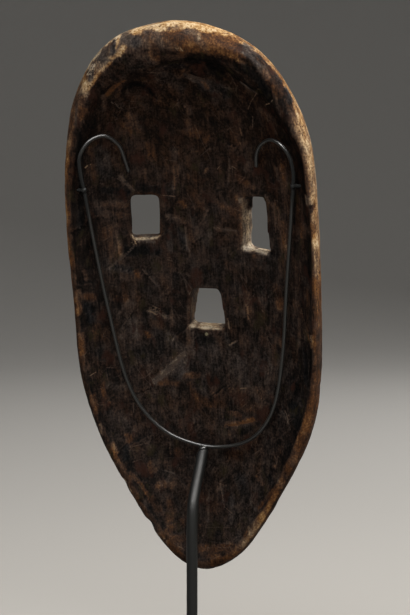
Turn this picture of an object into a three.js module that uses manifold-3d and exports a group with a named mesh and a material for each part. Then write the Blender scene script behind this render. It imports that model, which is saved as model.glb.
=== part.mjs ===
// Oval face mask carved from one block of light wood, on its display stand. Its back is hollow.
// Millimetres, +Z up. The face looks along -Y, and the hollow back opens towards +Y.
// The origin is the centre of the stand's underside.

import * as THREE from "three";
import { mergeVertices } from "three/addons/utils/BufferGeometryUtils.js";
import Module from "manifold-3d";

const wasm = await Module();
wasm.setup();

// Where the mask is held: its own frame has x across, z up the face and y = 0 at the back rim.
const maskCentre = new THREE.Vector3(-6.3, 14.8, 274);
const leanBack = THREE.MathUtils.degToRad(14);

// Outline of the rim, clockwise from the top as one looks at the face: x across, z up.
const outlinePoints = [
  [2, 199.5], [24, 197], [46, 189.5], [64, 173.5], [78.5, 148], [87.5, 110], [91, 62], [90.5, 0], [90, -48],
  [82, -91], [58.8, -146], [36.8, -184], [23, -197], [7, -201.5], [-11, -194.5], [-25, -182.5], [-51, -144],
  [-77, -93], [-84.5, -56], [-88, 5], [-89, 66], [-86.2, 116], [-76, 147], [-59, 173], [-42, 186.5],
  [-21, 195.5],
];
const pole = new THREE.Vector2(0, 20);
const spokes = 96;

// The rim's section, as [share of the way round the outline, size]: its width, how much of that
// slopes outwards, and how far the outer corner lies under the crest.
const rimWidths = [
  [0, 24], [0.03, 27], [0.06, 25], [0.1, 14.5], [0.14, 8.5], [0.18, 5], [0.3, 4.6], [0.36, 6.5], [0.5, 9],
  [0.55, 5.5], [0.64, 8], [0.7, 4.2], [0.8, 3.6], [0.85, 4.5], [0.9, 13], [0.93, 18.5], [0.97, 18.5],
];
const bevelShare = 0.72;
const bevelDrops = [
  [0, 10], [0.08, 8], [0.14, 6], [0.24, 4], [0.36, 4], [0.48, 6], [0.58, 4], [0.7, 6], [0.8, 7], [0.87, 7],
  [0.94, 9],
];
const crestDrop = 1.2;
const edgeThickness = 7;
const edgeRound = 3.5;

// The hollow: its depth, and how box-like its section is towards each side.
const hollowDepth = 31;
const hollowPowers = [[0, 6], [0.24, 2.6], [0.4, 2.4], [0.62, 2.4], [0.76, 2.6]];
const hollowRoundness = 0.85;

// The face: a dome over the hollow, with the plane of the cheeks set back under the brow.
const faceDepth = 50;
const facePower = 2.4;
const faceRoundness = 0.8;
const cheeks = { setBack: 5, browHeight: 92, browArch: 0.004, browBlend: 9, reach: 0.74, edgeBlend: 0.16 };

// The nose: a straight wedge from the brow down to just above the mouth.
const nose = {
  top: 94, bridge: 80, bottom: 14, undercut: 4, bridgeHalf: 6.5, tipHalf: 14.5, bridgeRidge: 3, tipRidge: 4.5,
  topDepth: 46, bridgeDepth: 50.5, tipDepth: 59, underDepth: 50, root: 40, flankDepth: 44.5,
};

// Openings, by the corners of their back and front edges: [x, z], clockwise as seen from behind.
const openingCorner = 2.2;
const openings = [
  {
    back: { y: -28, corners: [[49.8, 73], [29.3, 72.5], [30.8, 41.9], [49.6, 41.4]] },
    front: { y: -40, corners: [[54.5, 72], [31, 71.5], [32.5, 41], [54.3, 42.2]] },
  },
  {
    back: { y: -28, corners: [[-28.8, 71.8], [-47.8, 72.2], [-50.3, 31.6], [-28.7, 33.7]] },
    front: { y: -40, corners: [[-35.9, 70.5], [-51, 71.5], [-53.5, 30], [-31.5, 33.2]] },
  },
  {
    back: { y: -30.5, corners: [[11.4, 3.5], [-9.7, 3.5], [-12.6, -25.6], [14.2, -23.7]] },
    front: { y: -44.5, corners: [[8.4, 2], [-8.5, 2], [-12.5, -25.8], [14.2, -25]] },
  },
];

// The cradle: one bent wire that follows the hollow, with a hook at each end.
const wireRadius = 1.25;
const wireLift = 5.2;
const wireSides = 8;
const wireSteps = 84;
// Its route from hook end to hook end, [x, z, share of the full lift off the wood].
const wireRoute = [
  [48.5, 90.7, 0.45], [49.8, 101, 0.8], [53.5, 111.5, 1], [61.6, 120.4, 1], [69.5, 118, 1], [75.8, 108, 1],
  [76.9, 93, 1], [76.2, 82.6, 1], [74, 53, 1], [67.7, -5, 1], [58.1, -60, 1], [47.5, -83, 1], [31, -100.5, 1],
  [6.6, -110.2, 1], [-14, -109.2, 1], [-29, -103.2, 1], [-41.5, -91.5, 1], [-50.5, -74, 1], [-57.5, -40, 1],
  [-64.1, 15, 1], [-69, 52, 1], [-73.3, 84.4, 1], [-74.4, 95, 1], [-71.6, 108, 1], [-65.5, 114.8, 1],
  [-58, 116.7, 1], [-50.5, 112.5, 1], [-45.8, 105.5, 0.8], [-43.9, 94.4, 0.45],
];
// Each prong: a short stub from the wire into a hole in the wall of the hollow. It leaves the wire
// outwards in a bead of weld, and falls a little towards the face and the chin on its way.
const prongs = [{ at: [76.2, 82.6], side: 1 }, { at: [-73.5, 85.5], side: -1 }];
const prong = { length: 10, radius: 1.1, sides: 8, towardsFace: 0.16, towardsChin: 0.03 };
const prongHole = { length: 10, radius: 2, sides: 12, pastTip: 1 };
const prongBead = { radius: 2, sides: 10, rows: 6 };

// The stem: a round rod that leans forward at its top, where the cradle's lug meets it.
const stemRadius = 3.9;
const stemSides = 16;
const stemSteps = 26;
const stemRoute = [
  [0, -28.2, 168], [0, -17.9, 155], [0, -7.4, 141.5], [0, -1.8, 131], [0, 0, 118], [0, 0, 80], [0, 0, 40],
];
const lug = { radius: 3.1, length: 2.8, sides: 14 };
// What two pieces that meet leave between them.
const gap = 0.3;

// The foot: a square plate with the stem in a blind hole.
const foot = { side: 150, thickness: 10, chamfer: 1.5, boreDepth: 7, boreSides: 20 };

// How far a cutter runs past the face it opens, and how near two corners are to be one.
const openingOverrun = 12;
const boreOverrun = 2;
const sameCorner = 1e-4;

// A smooth value round the rim, eased between its stations.
function aroundRim(stations, share) {
  const count = stations.length;
  for (let i = 0; i < count; i += 1) {
    const [start, from] = stations[i];
    const [nextStart, to] = stations[(i + 1) % count];
    const end = i + 1 < count ? nextStart : 1;
    if (share >= start && share <= end) {
      const way = (share - start) / (end - start);
      return from + (to - from) * THREE.MathUtils.smoothstep(way, 0, 1);
    }
  }
  return stations[0][1];
}

// The outline as evenly spaced points with their inward normals.
function sampleOutline() {
  const points = outlinePoints.map(([x, z]) => new THREE.Vector3(x, z, 0));
  const curve = new THREE.CatmullRomCurve3(points, true, "centripetal");
  return Array.from({ length: spokes }, (unused, i) => {
    const share = i / spokes;
    const point = curve.getPointAt(share);
    const tangent = curve.getTangentAt(share);
    return { share, x: point.x, z: point.y, inX: tangent.y, inZ: -tangent.x };
  });
}

const outline = sampleOutline();

// A loop set in from the outline by a width that may change round the rim, at its own depth.
function rimLoop(width, depth) {
  return outline.map((spoke) => {
    const inset = width(spoke.share);
    return new THREE.Vector3(spoke.x + spoke.inX * inset, depth(spoke.share), spoke.z + spoke.inZ * inset);
  });
}

const rimAt = (share) => aroundRim(rimWidths, share);
const bevelAt = (share) => rimAt(share) * bevelShare;
const dropAt = (share) => aroundRim(bevelDrops, share);
const innerEdge = rimLoop(rimAt, () => -crestDrop);
const frontEdge = rimLoop(() => edgeRound, (share) => -dropAt(share) - edgeThickness - edgeRound);

// Depth of the hollow where t runs from 0 at the pole to 1 at its inner edge.
function hollowY(share, t) {
  const power = aroundRim(hollowPowers, share);
  const bowl = Math.max(1 - t ** power, 0) ** hollowRoundness;
  return -crestDrop - (hollowDepth - crestDrop) * bowl;
}

// Depth of the face where t runs from 0 at the pole to 1 at the front edge.
function faceY(share, t, x, z) {
  const edge = -dropAt(share) - edgeThickness - edgeRound;
  const dome = Math.max(1 - t ** facePower, 0) ** faceRoundness;
  const brow = cheeks.browHeight - cheeks.browArch * x * x;
  const below = 1 - THREE.MathUtils.smoothstep(z, brow - cheeks.browBlend, brow + cheeks.browBlend);
  const within = 1 - THREE.MathUtils.smoothstep(t, cheeks.reach, cheeks.reach + cheeks.edgeBlend);
  return edge - (faceDepth + edge) * dome + cheeks.setBack * below * within;
}

// A loop scaled towards the pole, with its depth from a function of its place.
function scaledLoop(loop, t, depth) {
  return loop.map((point, i) => {
    const x = pole.x + (point.x - pole.x) * t;
    const z = pole.y + (point.z - pole.y) * t;
    return new THREE.Vector3(x, depth(outline[i].share, t, x, z), z);
  });
}

// Six times the volume inside indexed triangles: below zero where they face inwards.
function sixVolumes(points, index) {
  let sum = 0;
  for (let i = 0; i < index.length; i += 3) {
    const [a, b, c] = index.slice(i, i + 3).map((k) => points[k]);
    sum += a.dot(b.clone().cross(c));
  }
  return sum;
}

// A closed solid through loops of equal count, each end closed by a fan to its middle.
function closedLoft(loops) {
  const count = loops[0].length;
  const points = loops.flat();
  const middles = [loops[0], loops.at(-1)].map((loop) =>
    loop.reduce((sum, point) => sum.add(point), new THREE.Vector3()).divideScalar(count));
  const index = [];
  for (let row = 0; row + 1 < loops.length; row += 1) {
    for (let i = 0; i < count; i += 1) {
      const a = row * count + i;
      const b = row * count + (i + 1) % count;
      index.push(a, b, b + count, a, b + count, a + count);
    }
  }
  const firstMiddle = points.length;
  const lastRow = (loops.length - 1) * count;
  for (let i = 0; i < count; i += 1) {
    const next = (i + 1) % count;
    index.push(firstMiddle, next, i, firstMiddle + 1, lastRow + i, lastRow + next);
  }
  points.push(...middles);
  const geometry = new THREE.BufferGeometry().setFromPoints(points);
  geometry.setIndex(sixVolumes(points, index) < 0 ? index.reverse() : index);
  return geometry;
}

// A closed geometry as a solid that can be joined and cut.
function toSolid(geometry) {
  const bare = geometry.clone();
  bare.deleteAttribute("normal");
  bare.deleteAttribute("uv");
  const merged = mergeVertices(bare, sameCorner);
  return new wasm.Manifold(new wasm.Mesh({
    numProp: 3,
    vertProperties: new Float32Array(merged.attributes.position.array),
    triVerts: new Uint32Array(merged.index.array),
  }));
}

function toGeometry(solid) {
  const mesh = solid.getMesh();
  const geometry = new THREE.BufferGeometry();
  geometry.setAttribute("position", new THREE.BufferAttribute(new Float32Array(mesh.vertProperties), 3));
  geometry.setIndex(new THREE.BufferAttribute(new Uint32Array(mesh.triVerts), 1));
  geometry.computeVertexNormals();
  return geometry;
}

// A round bar along a curve.
function barAlong(curve, radius, sides, steps) {
  const section = new THREE.Shape().absarc(0, 0, radius, 0, Math.PI * 2);
  const round = { extrudePath: curve, steps, curveSegments: sides / 2, bevelEnabled: false };
  return new THREE.ExtrudeGeometry(section, round);
}

// A round bar between two points.
function barBetween(from, to, radius, sides) {
  const along = to.clone().sub(from);
  const geometry = new THREE.CylinderGeometry(radius, radius, along.length(), sides);
  geometry.applyQuaternion(new THREE.Quaternion().setFromUnitVectors(
    new THREE.Vector3(0, 1, 0), along.clone().normalize()));
  const middle = from.clone().add(to).divideScalar(2);
  return geometry.translate(middle.x, middle.y, middle.z);
}

// The carved shell before anything is cut: hollow, rim, edge and face as one skin.
function maskShell() {
  const hollowRings = [0.05, 0.15, 0.27, 0.39, 0.51, 0.62, 0.72, 0.8, 0.87, 0.92, 0.96, 0.985, 1];
  const faceRings = [0.97, 0.92, 0.85, 0.77, 0.68, 0.58, 0.48, 0.38, 0.28, 0.18, 0.08];
  const bevelShoulder = 0.45;
  return closedLoft([
    ...hollowRings.map((t) => scaledLoop(innerEdge, t, hollowY)),
    rimLoop(bevelAt, () => 0),
    rimLoop((share) => bevelAt(share) * bevelShoulder, (share) => -dropAt(share) * bevelShoulder ** 2),
    rimLoop(() => 0, (share) => -dropAt(share)),
    rimLoop(() => 0, (share) => -dropAt(share) - edgeThickness),
    frontEdge,
    ...faceRings.map((t) => scaledLoop(frontEdge, t, faceY)),
  ]);
}

// A nose section at one height: root corners inside the wood, flanks and a flat ridge.
function noseLoop(z, half, ridge, depth) {
  const right = [[half, nose.root], [half, nose.flankDepth], [ridge, depth]];
  const left = right.map(([x, y]) => [-x, y]).reverse();
  return [...right, ...left].map(([x, y]) => new THREE.Vector3(x, -y, z));
}

function noseSolid() {
  return closedLoft([
    noseLoop(nose.top, nose.bridgeHalf, nose.bridgeRidge, nose.topDepth),
    noseLoop(nose.bridge, nose.bridgeHalf, nose.bridgeRidge, nose.bridgeDepth),
    noseLoop(nose.bottom + nose.undercut, nose.tipHalf, nose.tipRidge, nose.tipDepth),
    noseLoop(nose.bottom, nose.tipHalf, nose.tipRidge, nose.underDepth),
  ]);
}

// The corners of an opening at one depth, each cut off by a short facet.
function openingLoop(corners, y) {
  return corners.flatMap(([x, z], i) => {
    const before = corners.at(i - 1);
    const after = corners[(i + 1) % corners.length];
    return [before, after].map(([nearX, nearZ]) => {
      const way = openingCorner / Math.hypot(nearX - x, nearZ - z);
      return new THREE.Vector3(x + (nearX - x) * way, y, z + (nearZ - z) * way);
    });
  });
}

// The cutter of an opening: its tapered hole, run on past both faces of the wood.
function openingCutter({ back, front }) {
  const slope = (y) => (y - back.y) / (front.y - back.y);
  const cornersAt = (y) => back.corners.map(([x, z], i) => [
    x + (front.corners[i][0] - x) * slope(y), z + (front.corners[i][1] - z) * slope(y)]);
  return closedLoft([front.y - openingOverrun, back.y + openingOverrun].map((y) =>
    openingLoop(cornersAt(y), y)));
}

// The hollow's surface at a place across and up the mask.
function hollowAt(x, z) {
  const angle = Math.atan2(x - pole.x, z - pole.y);
  const angles = innerEdge.map((point) => Math.atan2(point.x - pole.x, point.z - pole.y));
  const turn = (value) => THREE.MathUtils.euclideanModulo(value, Math.PI * 2);
  const i = angles.findIndex((value, k) =>
    turn(angle - value) < turn(angles[(k + 1) % spokes] - value));
  const next = (i + 1) % spokes;
  const way = turn(angle - angles[i]) / turn(angles[next] - angles[i]);
  const edge = innerEdge[i].clone().lerp(innerEdge[next], way);
  const t = Math.hypot(x - pole.x, z - pole.y) / Math.hypot(edge.x - pole.x, edge.z - pole.y);
  return hollowY(outline[i].share, Math.min(t, 1));
}

// Each prong leaves the wire outwards and runs into the wall of the hollow.
function prongEnds({ at: [x, z], side }) {
  const y = hollowAt(x, z) + wireLift;
  const start = new THREE.Vector3(x, y, z);
  const direction = new THREE.Vector3(side, -prong.towardsFace, -prong.towardsChin).normalize();
  return { start, end: start.clone().addScaledVector(direction, prong.length), direction };
}

function maskSolid() {
  let solid = toSolid(maskShell()).add(toSolid(noseSolid()));
  for (const opening of openings) {
    solid = solid.subtract(toSolid(openingCutter(opening)));
  }
  for (const place of prongs) {
    const { end, direction } = prongEnds(place);
    const bottom = end.clone().addScaledVector(direction, prongHole.pastTip);
    const mouth = bottom.clone().addScaledVector(direction, -prongHole.length);
    solid = solid.subtract(toSolid(barBetween(mouth, bottom, prongHole.radius, prongHole.sides)));
  }
  return solid;
}

const wireCurve = new THREE.CatmullRomCurve3(wireRoute.map(([x, z, share]) =>
  new THREE.Vector3(x, hollowAt(x, z) + wireLift * share, z)), false, "centripetal");

// A place given in the stand's frame as it lies in the mask's own frame.
function toMaskFrame(place) {
  return new THREE.Vector3(...place).sub(maskCentre).applyAxisAngle(new THREE.Vector3(1, 0, 0), leanBack);
}

function cradleSolid() {
  let solid = toSolid(barAlong(wireCurve, wireRadius, wireSides, wireSteps));
  for (const place of prongs) {
    const { start, end } = prongEnds(place);
    const bead = new THREE.SphereGeometry(prongBead.radius, prongBead.sides, prongBead.rows);
    solid = solid.add(toSolid(barBetween(start, end, prong.radius, prong.sides)));
    solid = solid.add(toSolid(bead.translate(start.x, start.y, start.z)));
  }
  const stemTop = toMaskFrame(stemRoute[0]);
  const belowTop = toMaskFrame(stemRoute[1]);
  const up = stemTop.clone().sub(belowTop).normalize();
  const lugFoot = stemTop.clone().addScaledVector(up, gap);
  const lugTop = lugFoot.clone().addScaledVector(up, lug.length);
  return solid.add(toSolid(barBetween(lugFoot, lugTop, lug.radius, lug.sides)));
}

function stemGeometry() {
  const bottom = [0, 0, foot.thickness - foot.boreDepth + gap];
  const points = [...stemRoute, bottom].map((place) => new THREE.Vector3(...place));
  const curve = new THREE.CatmullRomCurve3(points, false, "centripetal");
  return barAlong(curve, stemRadius, stemSides, stemSteps);
}

// A square plate with a chamfer round its upper face and a blind hole for the stem.
function footSolid() {
  const square = (half, z) => [[-half, -half], [half, -half], [half, half], [-half, half]]
    .map(([x, y]) => new THREE.Vector3(x, y, z));
  const half = foot.side / 2;
  const plate = closedLoft([
    square(half - foot.chamfer, foot.thickness),
    square(half, foot.thickness - foot.chamfer),
    square(half, 0),
  ]);
  const boreFloor = new THREE.Vector3(0, 0, foot.thickness - foot.boreDepth);
  const boreMouth = new THREE.Vector3(0, 0, foot.thickness + boreOverrun);
  const bore = barBetween(boreFloor, boreMouth, stemRadius + gap, foot.boreSides);
  return toSolid(plate).subtract(toSolid(bore));
}

const agedWood = new THREE.MeshStandardMaterial({ color: 0x3a2c24, roughness: 0.82, metalness: 0 });
const greySteel = new THREE.MeshStandardMaterial({ color: 0x4d5150, roughness: 0.45, metalness: 0.8 });
const blackSteel = new THREE.MeshStandardMaterial({ color: 0x1f2021, roughness: 0.55, metalness: 0.6 });

function namedMesh(name, geometry, material) {
  const mesh = new THREE.Mesh(geometry, material.clone());
  mesh.name = name;
  return mesh;
}

const leaning = new THREE.Group();
leaning.position.copy(maskCentre);
leaning.rotation.x = -leanBack;
leaning.add(namedMesh("mask", toGeometry(maskSolid()), agedWood));
leaning.add(namedMesh("cradle", toGeometry(cradleSolid()), greySteel));

const displayedMask = new THREE.Group();
displayedMask.add(leaning);
displayedMask.add(namedMesh("stem", stemGeometry(), greySteel));
displayedMask.add(namedMesh("foot", toGeometry(footSolid()), blackSteel));

export default displayedMask;
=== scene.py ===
import math

import bpy
import numpy as np
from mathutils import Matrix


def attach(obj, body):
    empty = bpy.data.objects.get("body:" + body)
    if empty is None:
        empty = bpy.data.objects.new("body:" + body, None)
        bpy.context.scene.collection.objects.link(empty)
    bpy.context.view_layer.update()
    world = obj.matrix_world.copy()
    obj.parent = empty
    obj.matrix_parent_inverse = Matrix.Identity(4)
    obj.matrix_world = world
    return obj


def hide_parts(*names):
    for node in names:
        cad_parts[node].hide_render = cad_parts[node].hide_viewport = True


# A carved oval face mask on its wire cradle and rod, seen from behind. Blender's unit is the metre.
# Sizes here are in millimetres, and places on the mask are in its own frame: x across, z up the face,
# y towards the back, with y = 0 at the back of the rim.

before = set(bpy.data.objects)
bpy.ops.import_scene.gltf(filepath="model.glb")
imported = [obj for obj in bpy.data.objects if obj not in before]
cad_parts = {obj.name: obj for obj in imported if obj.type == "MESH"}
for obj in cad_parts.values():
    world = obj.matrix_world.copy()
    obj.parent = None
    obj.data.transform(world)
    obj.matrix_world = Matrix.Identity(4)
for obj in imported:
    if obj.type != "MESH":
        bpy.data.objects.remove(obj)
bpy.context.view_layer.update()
mm = 0.001
tau = 2 * math.pi
batch = 8000  # how many points are compared with a whole outline, or with every stroke, at once

stand = {
    "maskCentre": (-6.3, 14.8, 274.0), "leanBack": 14.0,
    "stemRadius": 3.9, "stemSides": 48, "stemRows": 260,
    "stemRoute": [(0, -28.2, 168), (0, -17.9, 155), (0, -7.4, 141.5), (0, -1.8, 131), (0, 0, 118),
                  (0, 0, 80), (0, 0, 40), (0, 0, 3.3)],
    "mitre": 0.38, "mitreFade": 14.0, "stemRoundness": 0.16, "gap": 0.3,
    "footSide": 150.0, "footThickness": 10.0, "footRound": 1.5, "footUnderRound": 0.8, "footCorner": 2.0,
    "footColumns": 192, "boreDepth": 7.0, "boreRound": 0.6,
}


# The mask's own frame turned back by its lean and moved to its centre, in metres.
def toStand(points):
    lean = math.radians(stand["leanBack"])
    x, y, z = np.moveaxis(np.asarray(points, float), -1, 0)
    back = y * math.cos(lean) + z * math.sin(lean)
    up = z * math.cos(lean) - y * math.sin(lean)
    return (np.stack([x, back, up], -1) + stand["maskCentre"]) * mm


# The way back: a place on the stand, in millimetres, as it lies in the mask's own frame.
def toMask(points):
    lean = math.radians(stand["leanBack"])
    x, y, z = np.moveaxis(np.asarray(points, float) - stand["maskCentre"], -1, 0)
    back = y * math.cos(lean) - z * math.sin(lean)
    up = z * math.cos(lean) + y * math.sin(lean)
    return np.stack([x, back, up], -1)


# Eases from 0 below low to 1 above high, by 3w^2 - 2w^3.
def ease(value, low, high):
    way = np.clip((value - low) / (high - low), 0, 1)
    return way * way * (3 - 2 * way)


# A fixed number from 0 to 1 for each whole-number cell, by mixing the bits of its place.
def cellNumber(cells, seed):
    mixed = cells[..., 0] * 374761393 + cells[..., 1] * 668265263 + cells[..., 2] * 1440662683 + seed * 69069
    mixed = (mixed ^ (mixed >> 13)) * 1274126177
    mixed = mixed ^ (mixed >> 16)
    return (mixed & 0xFFFFFF) / 0xFFFFFF


# Soft noise from -1 to 1: the eight corner numbers of a point's cell, blended by 3w^2 - 2w^3 on each axis.
def softNoise(points, size, seed):
    scaled = points / np.asarray(size, float)
    low = np.floor(scaled)
    way = scaled - low
    way = way * way * (3 - 2 * way)
    cells = low.astype(np.int64)
    total = np.zeros(len(points))
    for corner in np.ndindex(2, 2, 2):
        weight = np.prod(np.where(corner, way, 1 - way), axis=1)
        total += weight * cellNumber(cells + corner, seed)
    return total * 2 - 1


# Layers of soft noise, each half the size and half the height of the one before.
def layeredNoise(points, size, seed, layers=4):
    total = np.zeros(len(points))
    for layer in range(layers):
        total += softNoise(points, np.asarray(size, float) / 2 ** layer, seed + layer) / 2 ** layer
    return total / (2 - 2 ** (1 - layers))


# A closed or open centripetal Catmull-Rom curve through corners: on each stretch a cubic whose end
# tangents come from the square roots of the distances between neighbouring corners.
def curveThrough(corners, closed, steps=60):
    knots = np.asarray(corners, float)
    if closed:
        before, start, end, after = (np.roll(knots, shift, axis=0) for shift in (1, 0, -1, -2))
    else:
        padded = np.vstack([2 * knots[0] - knots[1], knots, 2 * knots[-1] - knots[-2]])
        before, start, end, after = padded[:-3], padded[1:-2], padded[2:-1], padded[3:]
    stretches = ((before, start), (start, end), (end, after))
    root = [np.linalg.norm(b - a, axis=1)[:, None] ** 0.5 for a, b in stretches]
    leave = (start - before) / root[0] - (end - before) / (root[0] + root[1]) + (end - start) / root[1]
    arrive = (end - start) / root[1] - (after - start) / (root[1] + root[2]) + (after - end) / root[2]
    leave, arrive = (leave * root[1])[:, None], (arrive * root[1])[:, None]
    way = np.linspace(0, 1, steps, endpoint=False)[None, :, None]
    start, end = start[:, None], end[:, None]
    path = (start + leave * way + (3 * (end - start) - 2 * leave - arrive) * way ** 2
            + (2 * (start - end) + leave + arrive) * way ** 3)
    return np.vstack([path.reshape(-1, knots.shape[1]), knots[:1] if closed else knots[-1:]])


# The same path at even arc lengths.
def walkEvenly(path, count, closed):
    lengths = np.concatenate([[0], np.cumsum(np.linalg.norm(np.diff(path, axis=0), axis=1))])
    where = np.linspace(0, lengths[-1], count, endpoint=not closed)
    return np.stack([np.interp(where, lengths, path[:, axis]) for axis in range(path.shape[1])], -1)


# A mesh object from points in metres, and faces given as corner indices with where each face starts.
def makePiece(name, points, corners, starts, finish):
    mesh = bpy.data.meshes.new(name)
    mesh.vertices.add(len(points))
    mesh.vertices.foreach_set("co", np.ascontiguousarray(points, np.float32).ravel())
    mesh.loops.add(len(corners))
    mesh.loops.foreach_set("vertex_index", np.ascontiguousarray(corners, np.int32))
    mesh.polygons.add(len(starts))
    mesh.polygons.foreach_set("loop_start", np.ascontiguousarray(starts, np.int32))
    mesh.update(calc_edges=True)
    mesh.validate()
    mesh.polygons.foreach_set("use_smooth", np.ones(len(mesh.polygons), bool))
    piece = bpy.data.objects.new(name, mesh)
    bpy.context.scene.collection.objects.link(piece)
    if finish:
        mesh.materials.append(finish)
    return piece


# A closed skin over rows of a grid whose columns go round: quads between rows, and a fan at each end.
def makeLoft(name, rows, finish):
    rows = np.asarray(rows, float)
    rowCount, columnCount = rows.shape[:2]
    points = np.vstack([rows.reshape(-1, 3), rows[0].mean(axis=0), rows[-1].mean(axis=0)])
    row, column = np.meshgrid(np.arange(rowCount - 1), np.arange(columnCount), indexing="ij")
    here, there = row * columnCount + column, row * columnCount + (column + 1) % columnCount
    quads = np.stack([here, there, there + columnCount, here + columnCount], -1).reshape(-1, 4)
    around = np.arange(columnCount)
    onward = (around + 1) % columnCount
    first, last, top = len(points) - 2, len(points) - 1, (rowCount - 1) * columnCount
    fans = np.vstack([np.stack([np.full(columnCount, first), onward, around], -1),
                      np.stack([np.full(columnCount, last), top + around, top + onward], -1)])
    triangles = np.vstack([quads[:, [0, 1, 2]], quads[:, [0, 2, 3]], fans])
    a, b, c = (points[triangles[:, k]] for k in range(3))
    if np.einsum("ij,ij->i", a, np.cross(b, c)).sum() < 0:
        quads, fans = quads[:, ::-1], fans[:, ::-1]
    corners = np.concatenate([quads.ravel(), fans.ravel()])
    starts = np.concatenate([np.arange(len(quads)) * 4, len(quads) * 4 + np.arange(len(fans)) * 3])
    return makePiece(name, points, corners, starts, finish)


# What a piece's modifiers make of it, as its own plain mesh.
def bakeModifiers(piece):
    made = piece.evaluated_get(bpy.context.evaluated_depsgraph_get())
    mesh = bpy.data.meshes.new_from_object(made)
    piece.modifiers.clear()
    piece.data = mesh
    mesh.polygons.foreach_set("use_smooth", np.ones(len(mesh.polygons), bool))


# Joins other closed pieces to a piece, or cuts them out of it, and removes them.
def joinOrCut(piece, others, operation):
    for other in others:
        step = piece.modifiers.new("step", "BOOLEAN")
        step.solver = "MANIFOLD"
        step.operation = operation
        step.object = other
    bakeModifiers(piece)
    for other in others:
        bpy.data.objects.remove(other)


class Shade:
    # One output socket of a node tree. Arithmetic on it adds Math nodes, and node() adds any other node.
    def __init__(self, tree, socket=None):
        self.tree = tree
        self.socket = socket

    def node(self, kind, settings=None, inputs=None, output=0):
        made = self.tree.nodes.new(kind)
        for key, value in (settings or {}).items():
            if key == "stops":
                while len(made.color_ramp.elements) < len(value):
                    made.color_ramp.elements.new(0.5)
                for element, (position, colour) in zip(made.color_ramp.elements, value):
                    element.position = position
                    element.color = (*colour, 1)
            else:
                setattr(made, key, value)
        for key, value in (inputs or {}).items():
            if isinstance(value, Shade):
                self.tree.links.new(value.socket, made.inputs[key])
            else:
                made.inputs[key].default_value = value
        return Shade(self.tree, made.outputs[output])

    # The three outputs of a node that takes this socket apart.
    def split(self, kind):
        parts = self.node(kind, None, {0: self}).socket.node.outputs
        return [Shade(self.tree, parts[k]) for k in range(3)]

    # The four numbers of a point attribute.
    def attribute(self, name):
        colour = self.node("ShaderNodeAttribute", {"attribute_name": name}, output="Color")
        alpha = Shade(self.tree, colour.socket.node.outputs["Alpha"])
        return [*colour.split("ShaderNodeSeparateColor"), alpha]

    # A plain colour to start from.
    def plain(self, colour):
        made = self.node("ShaderNodeRGB")
        made.socket.default_value = (*colour, 1)
        return made

    def math(self, operation, *values):
        return self.node("ShaderNodeMath", {"operation": operation}, dict(enumerate(values)))

    def __add__(self, other):
        return self.math("ADD", self, other)

    def __radd__(self, other):
        return self.math("ADD", other, self)

    def __sub__(self, other):
        return self.math("SUBTRACT", self, other)

    def __rsub__(self, other):
        return self.math("SUBTRACT", other, self)

    def __mul__(self, other):
        return self.math("MULTIPLY", self, other)

    def __rmul__(self, other):
        return self.math("MULTIPLY", other, self)

    def __pow__(self, other):
        return self.math("POWER", self, other)

    def __rpow__(self, other):
        return self.math("POWER", other, self)

    def larger(self, other):
        return self.math("MAXIMUM", self, other)

    def smaller(self, other):
        return self.math("MINIMUM", self, other)

    def size(self):
        return self.math("ABSOLUTE", self)

    # 0 below low, 1 above high, eased between.
    def ramp(self, low, high):
        return self.node("ShaderNodeMapRange", {"interpolation_type": "SMOOTHSTEP"},
                         {"Value": self, "From Min": low, "From Max": high})

    # This colour, turning into another one where the share is 1.
    def toward(self, colour, share):
        other = colour if isinstance(colour, Shade) else (*colour, 1)
        return self.node("ShaderNodeMix", {"data_type": "RGBA"}, {6: self, 7: other, 0: share}, 2)

    # Noise from 0 to 1 read at this place, with its grain size in the place's own units.
    def noise(self, size, detail, roughness):
        return self.node("ShaderNodeTexNoise", {"noise_dimensions": "3D"},
                         {"Vector": self, "Scale": 1 / size, "Detail": detail, "Roughness": roughness})

    # This place stretched, so that what is read there is long along the larger numbers.
    def stretched(self, lengths, turn=(0, 0, 0)):
        return self.node("ShaderNodeMapping", {"vector_type": "TEXTURE"},
                         {"Vector": self, "Scale": lengths, "Rotation": turn})


# A material with its shader, and the Shade that starts its expressions.
def startFinish(name):
    material = bpy.data.materials.new(name)
    material.use_nodes = True
    shader = next(node for node in material.node_tree.nodes if node.type == "BSDF_PRINCIPLED")
    return material, shader, Shade(material.node_tree)


def linkTo(shader, socket, shade):
    shade.tree.links.new(shade.socket, shader.inputs[socket])


print("camera")
photo = {"azimuth": 196.0, "elevation": 4.0, "distance": 1700.0, "target": (-13.8, 14.8, 274.0),
         "focalPixels": 2439.5, "longSidePixels": 615, "sensor": 36.0, "clipEnd": 60.0,
         "middle": (205.0, 307.5), "pixelsPerMm": 1.43, "firstDepth": -20.0, "rounds": 60}


# The way from the target to the camera, which stands right of the mask's back and a little above it.
def wayToCamera():
    azimuth, elevation = math.radians(photo["azimuth"]), math.radians(photo["elevation"])
    return np.array([math.sin(azimuth) * math.cos(elevation), -math.cos(azimuth) * math.cos(elevation),
                     math.sin(elevation)])


def placeCamera():
    data = bpy.data.cameras.new("camera")
    camera = bpy.data.objects.new("camera", data)
    bpy.context.scene.collection.objects.link(camera)
    camera.location = (np.array(photo["target"]) + wayToCamera() * photo["distance"]) * mm
    data.sensor_width = photo["sensor"]
    data.lens = photo["sensor"] * photo["focalPixels"] / photo["longSidePixels"]
    data.clip_end = photo["clipEnd"]
    azimuth, elevation = math.radians(photo["azimuth"]), math.radians(photo["elevation"])
    camera.rotation_euler = (math.pi / 2 - elevation, 0, azimuth)
    bpy.context.scene.camera = camera


placeCamera()

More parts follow.
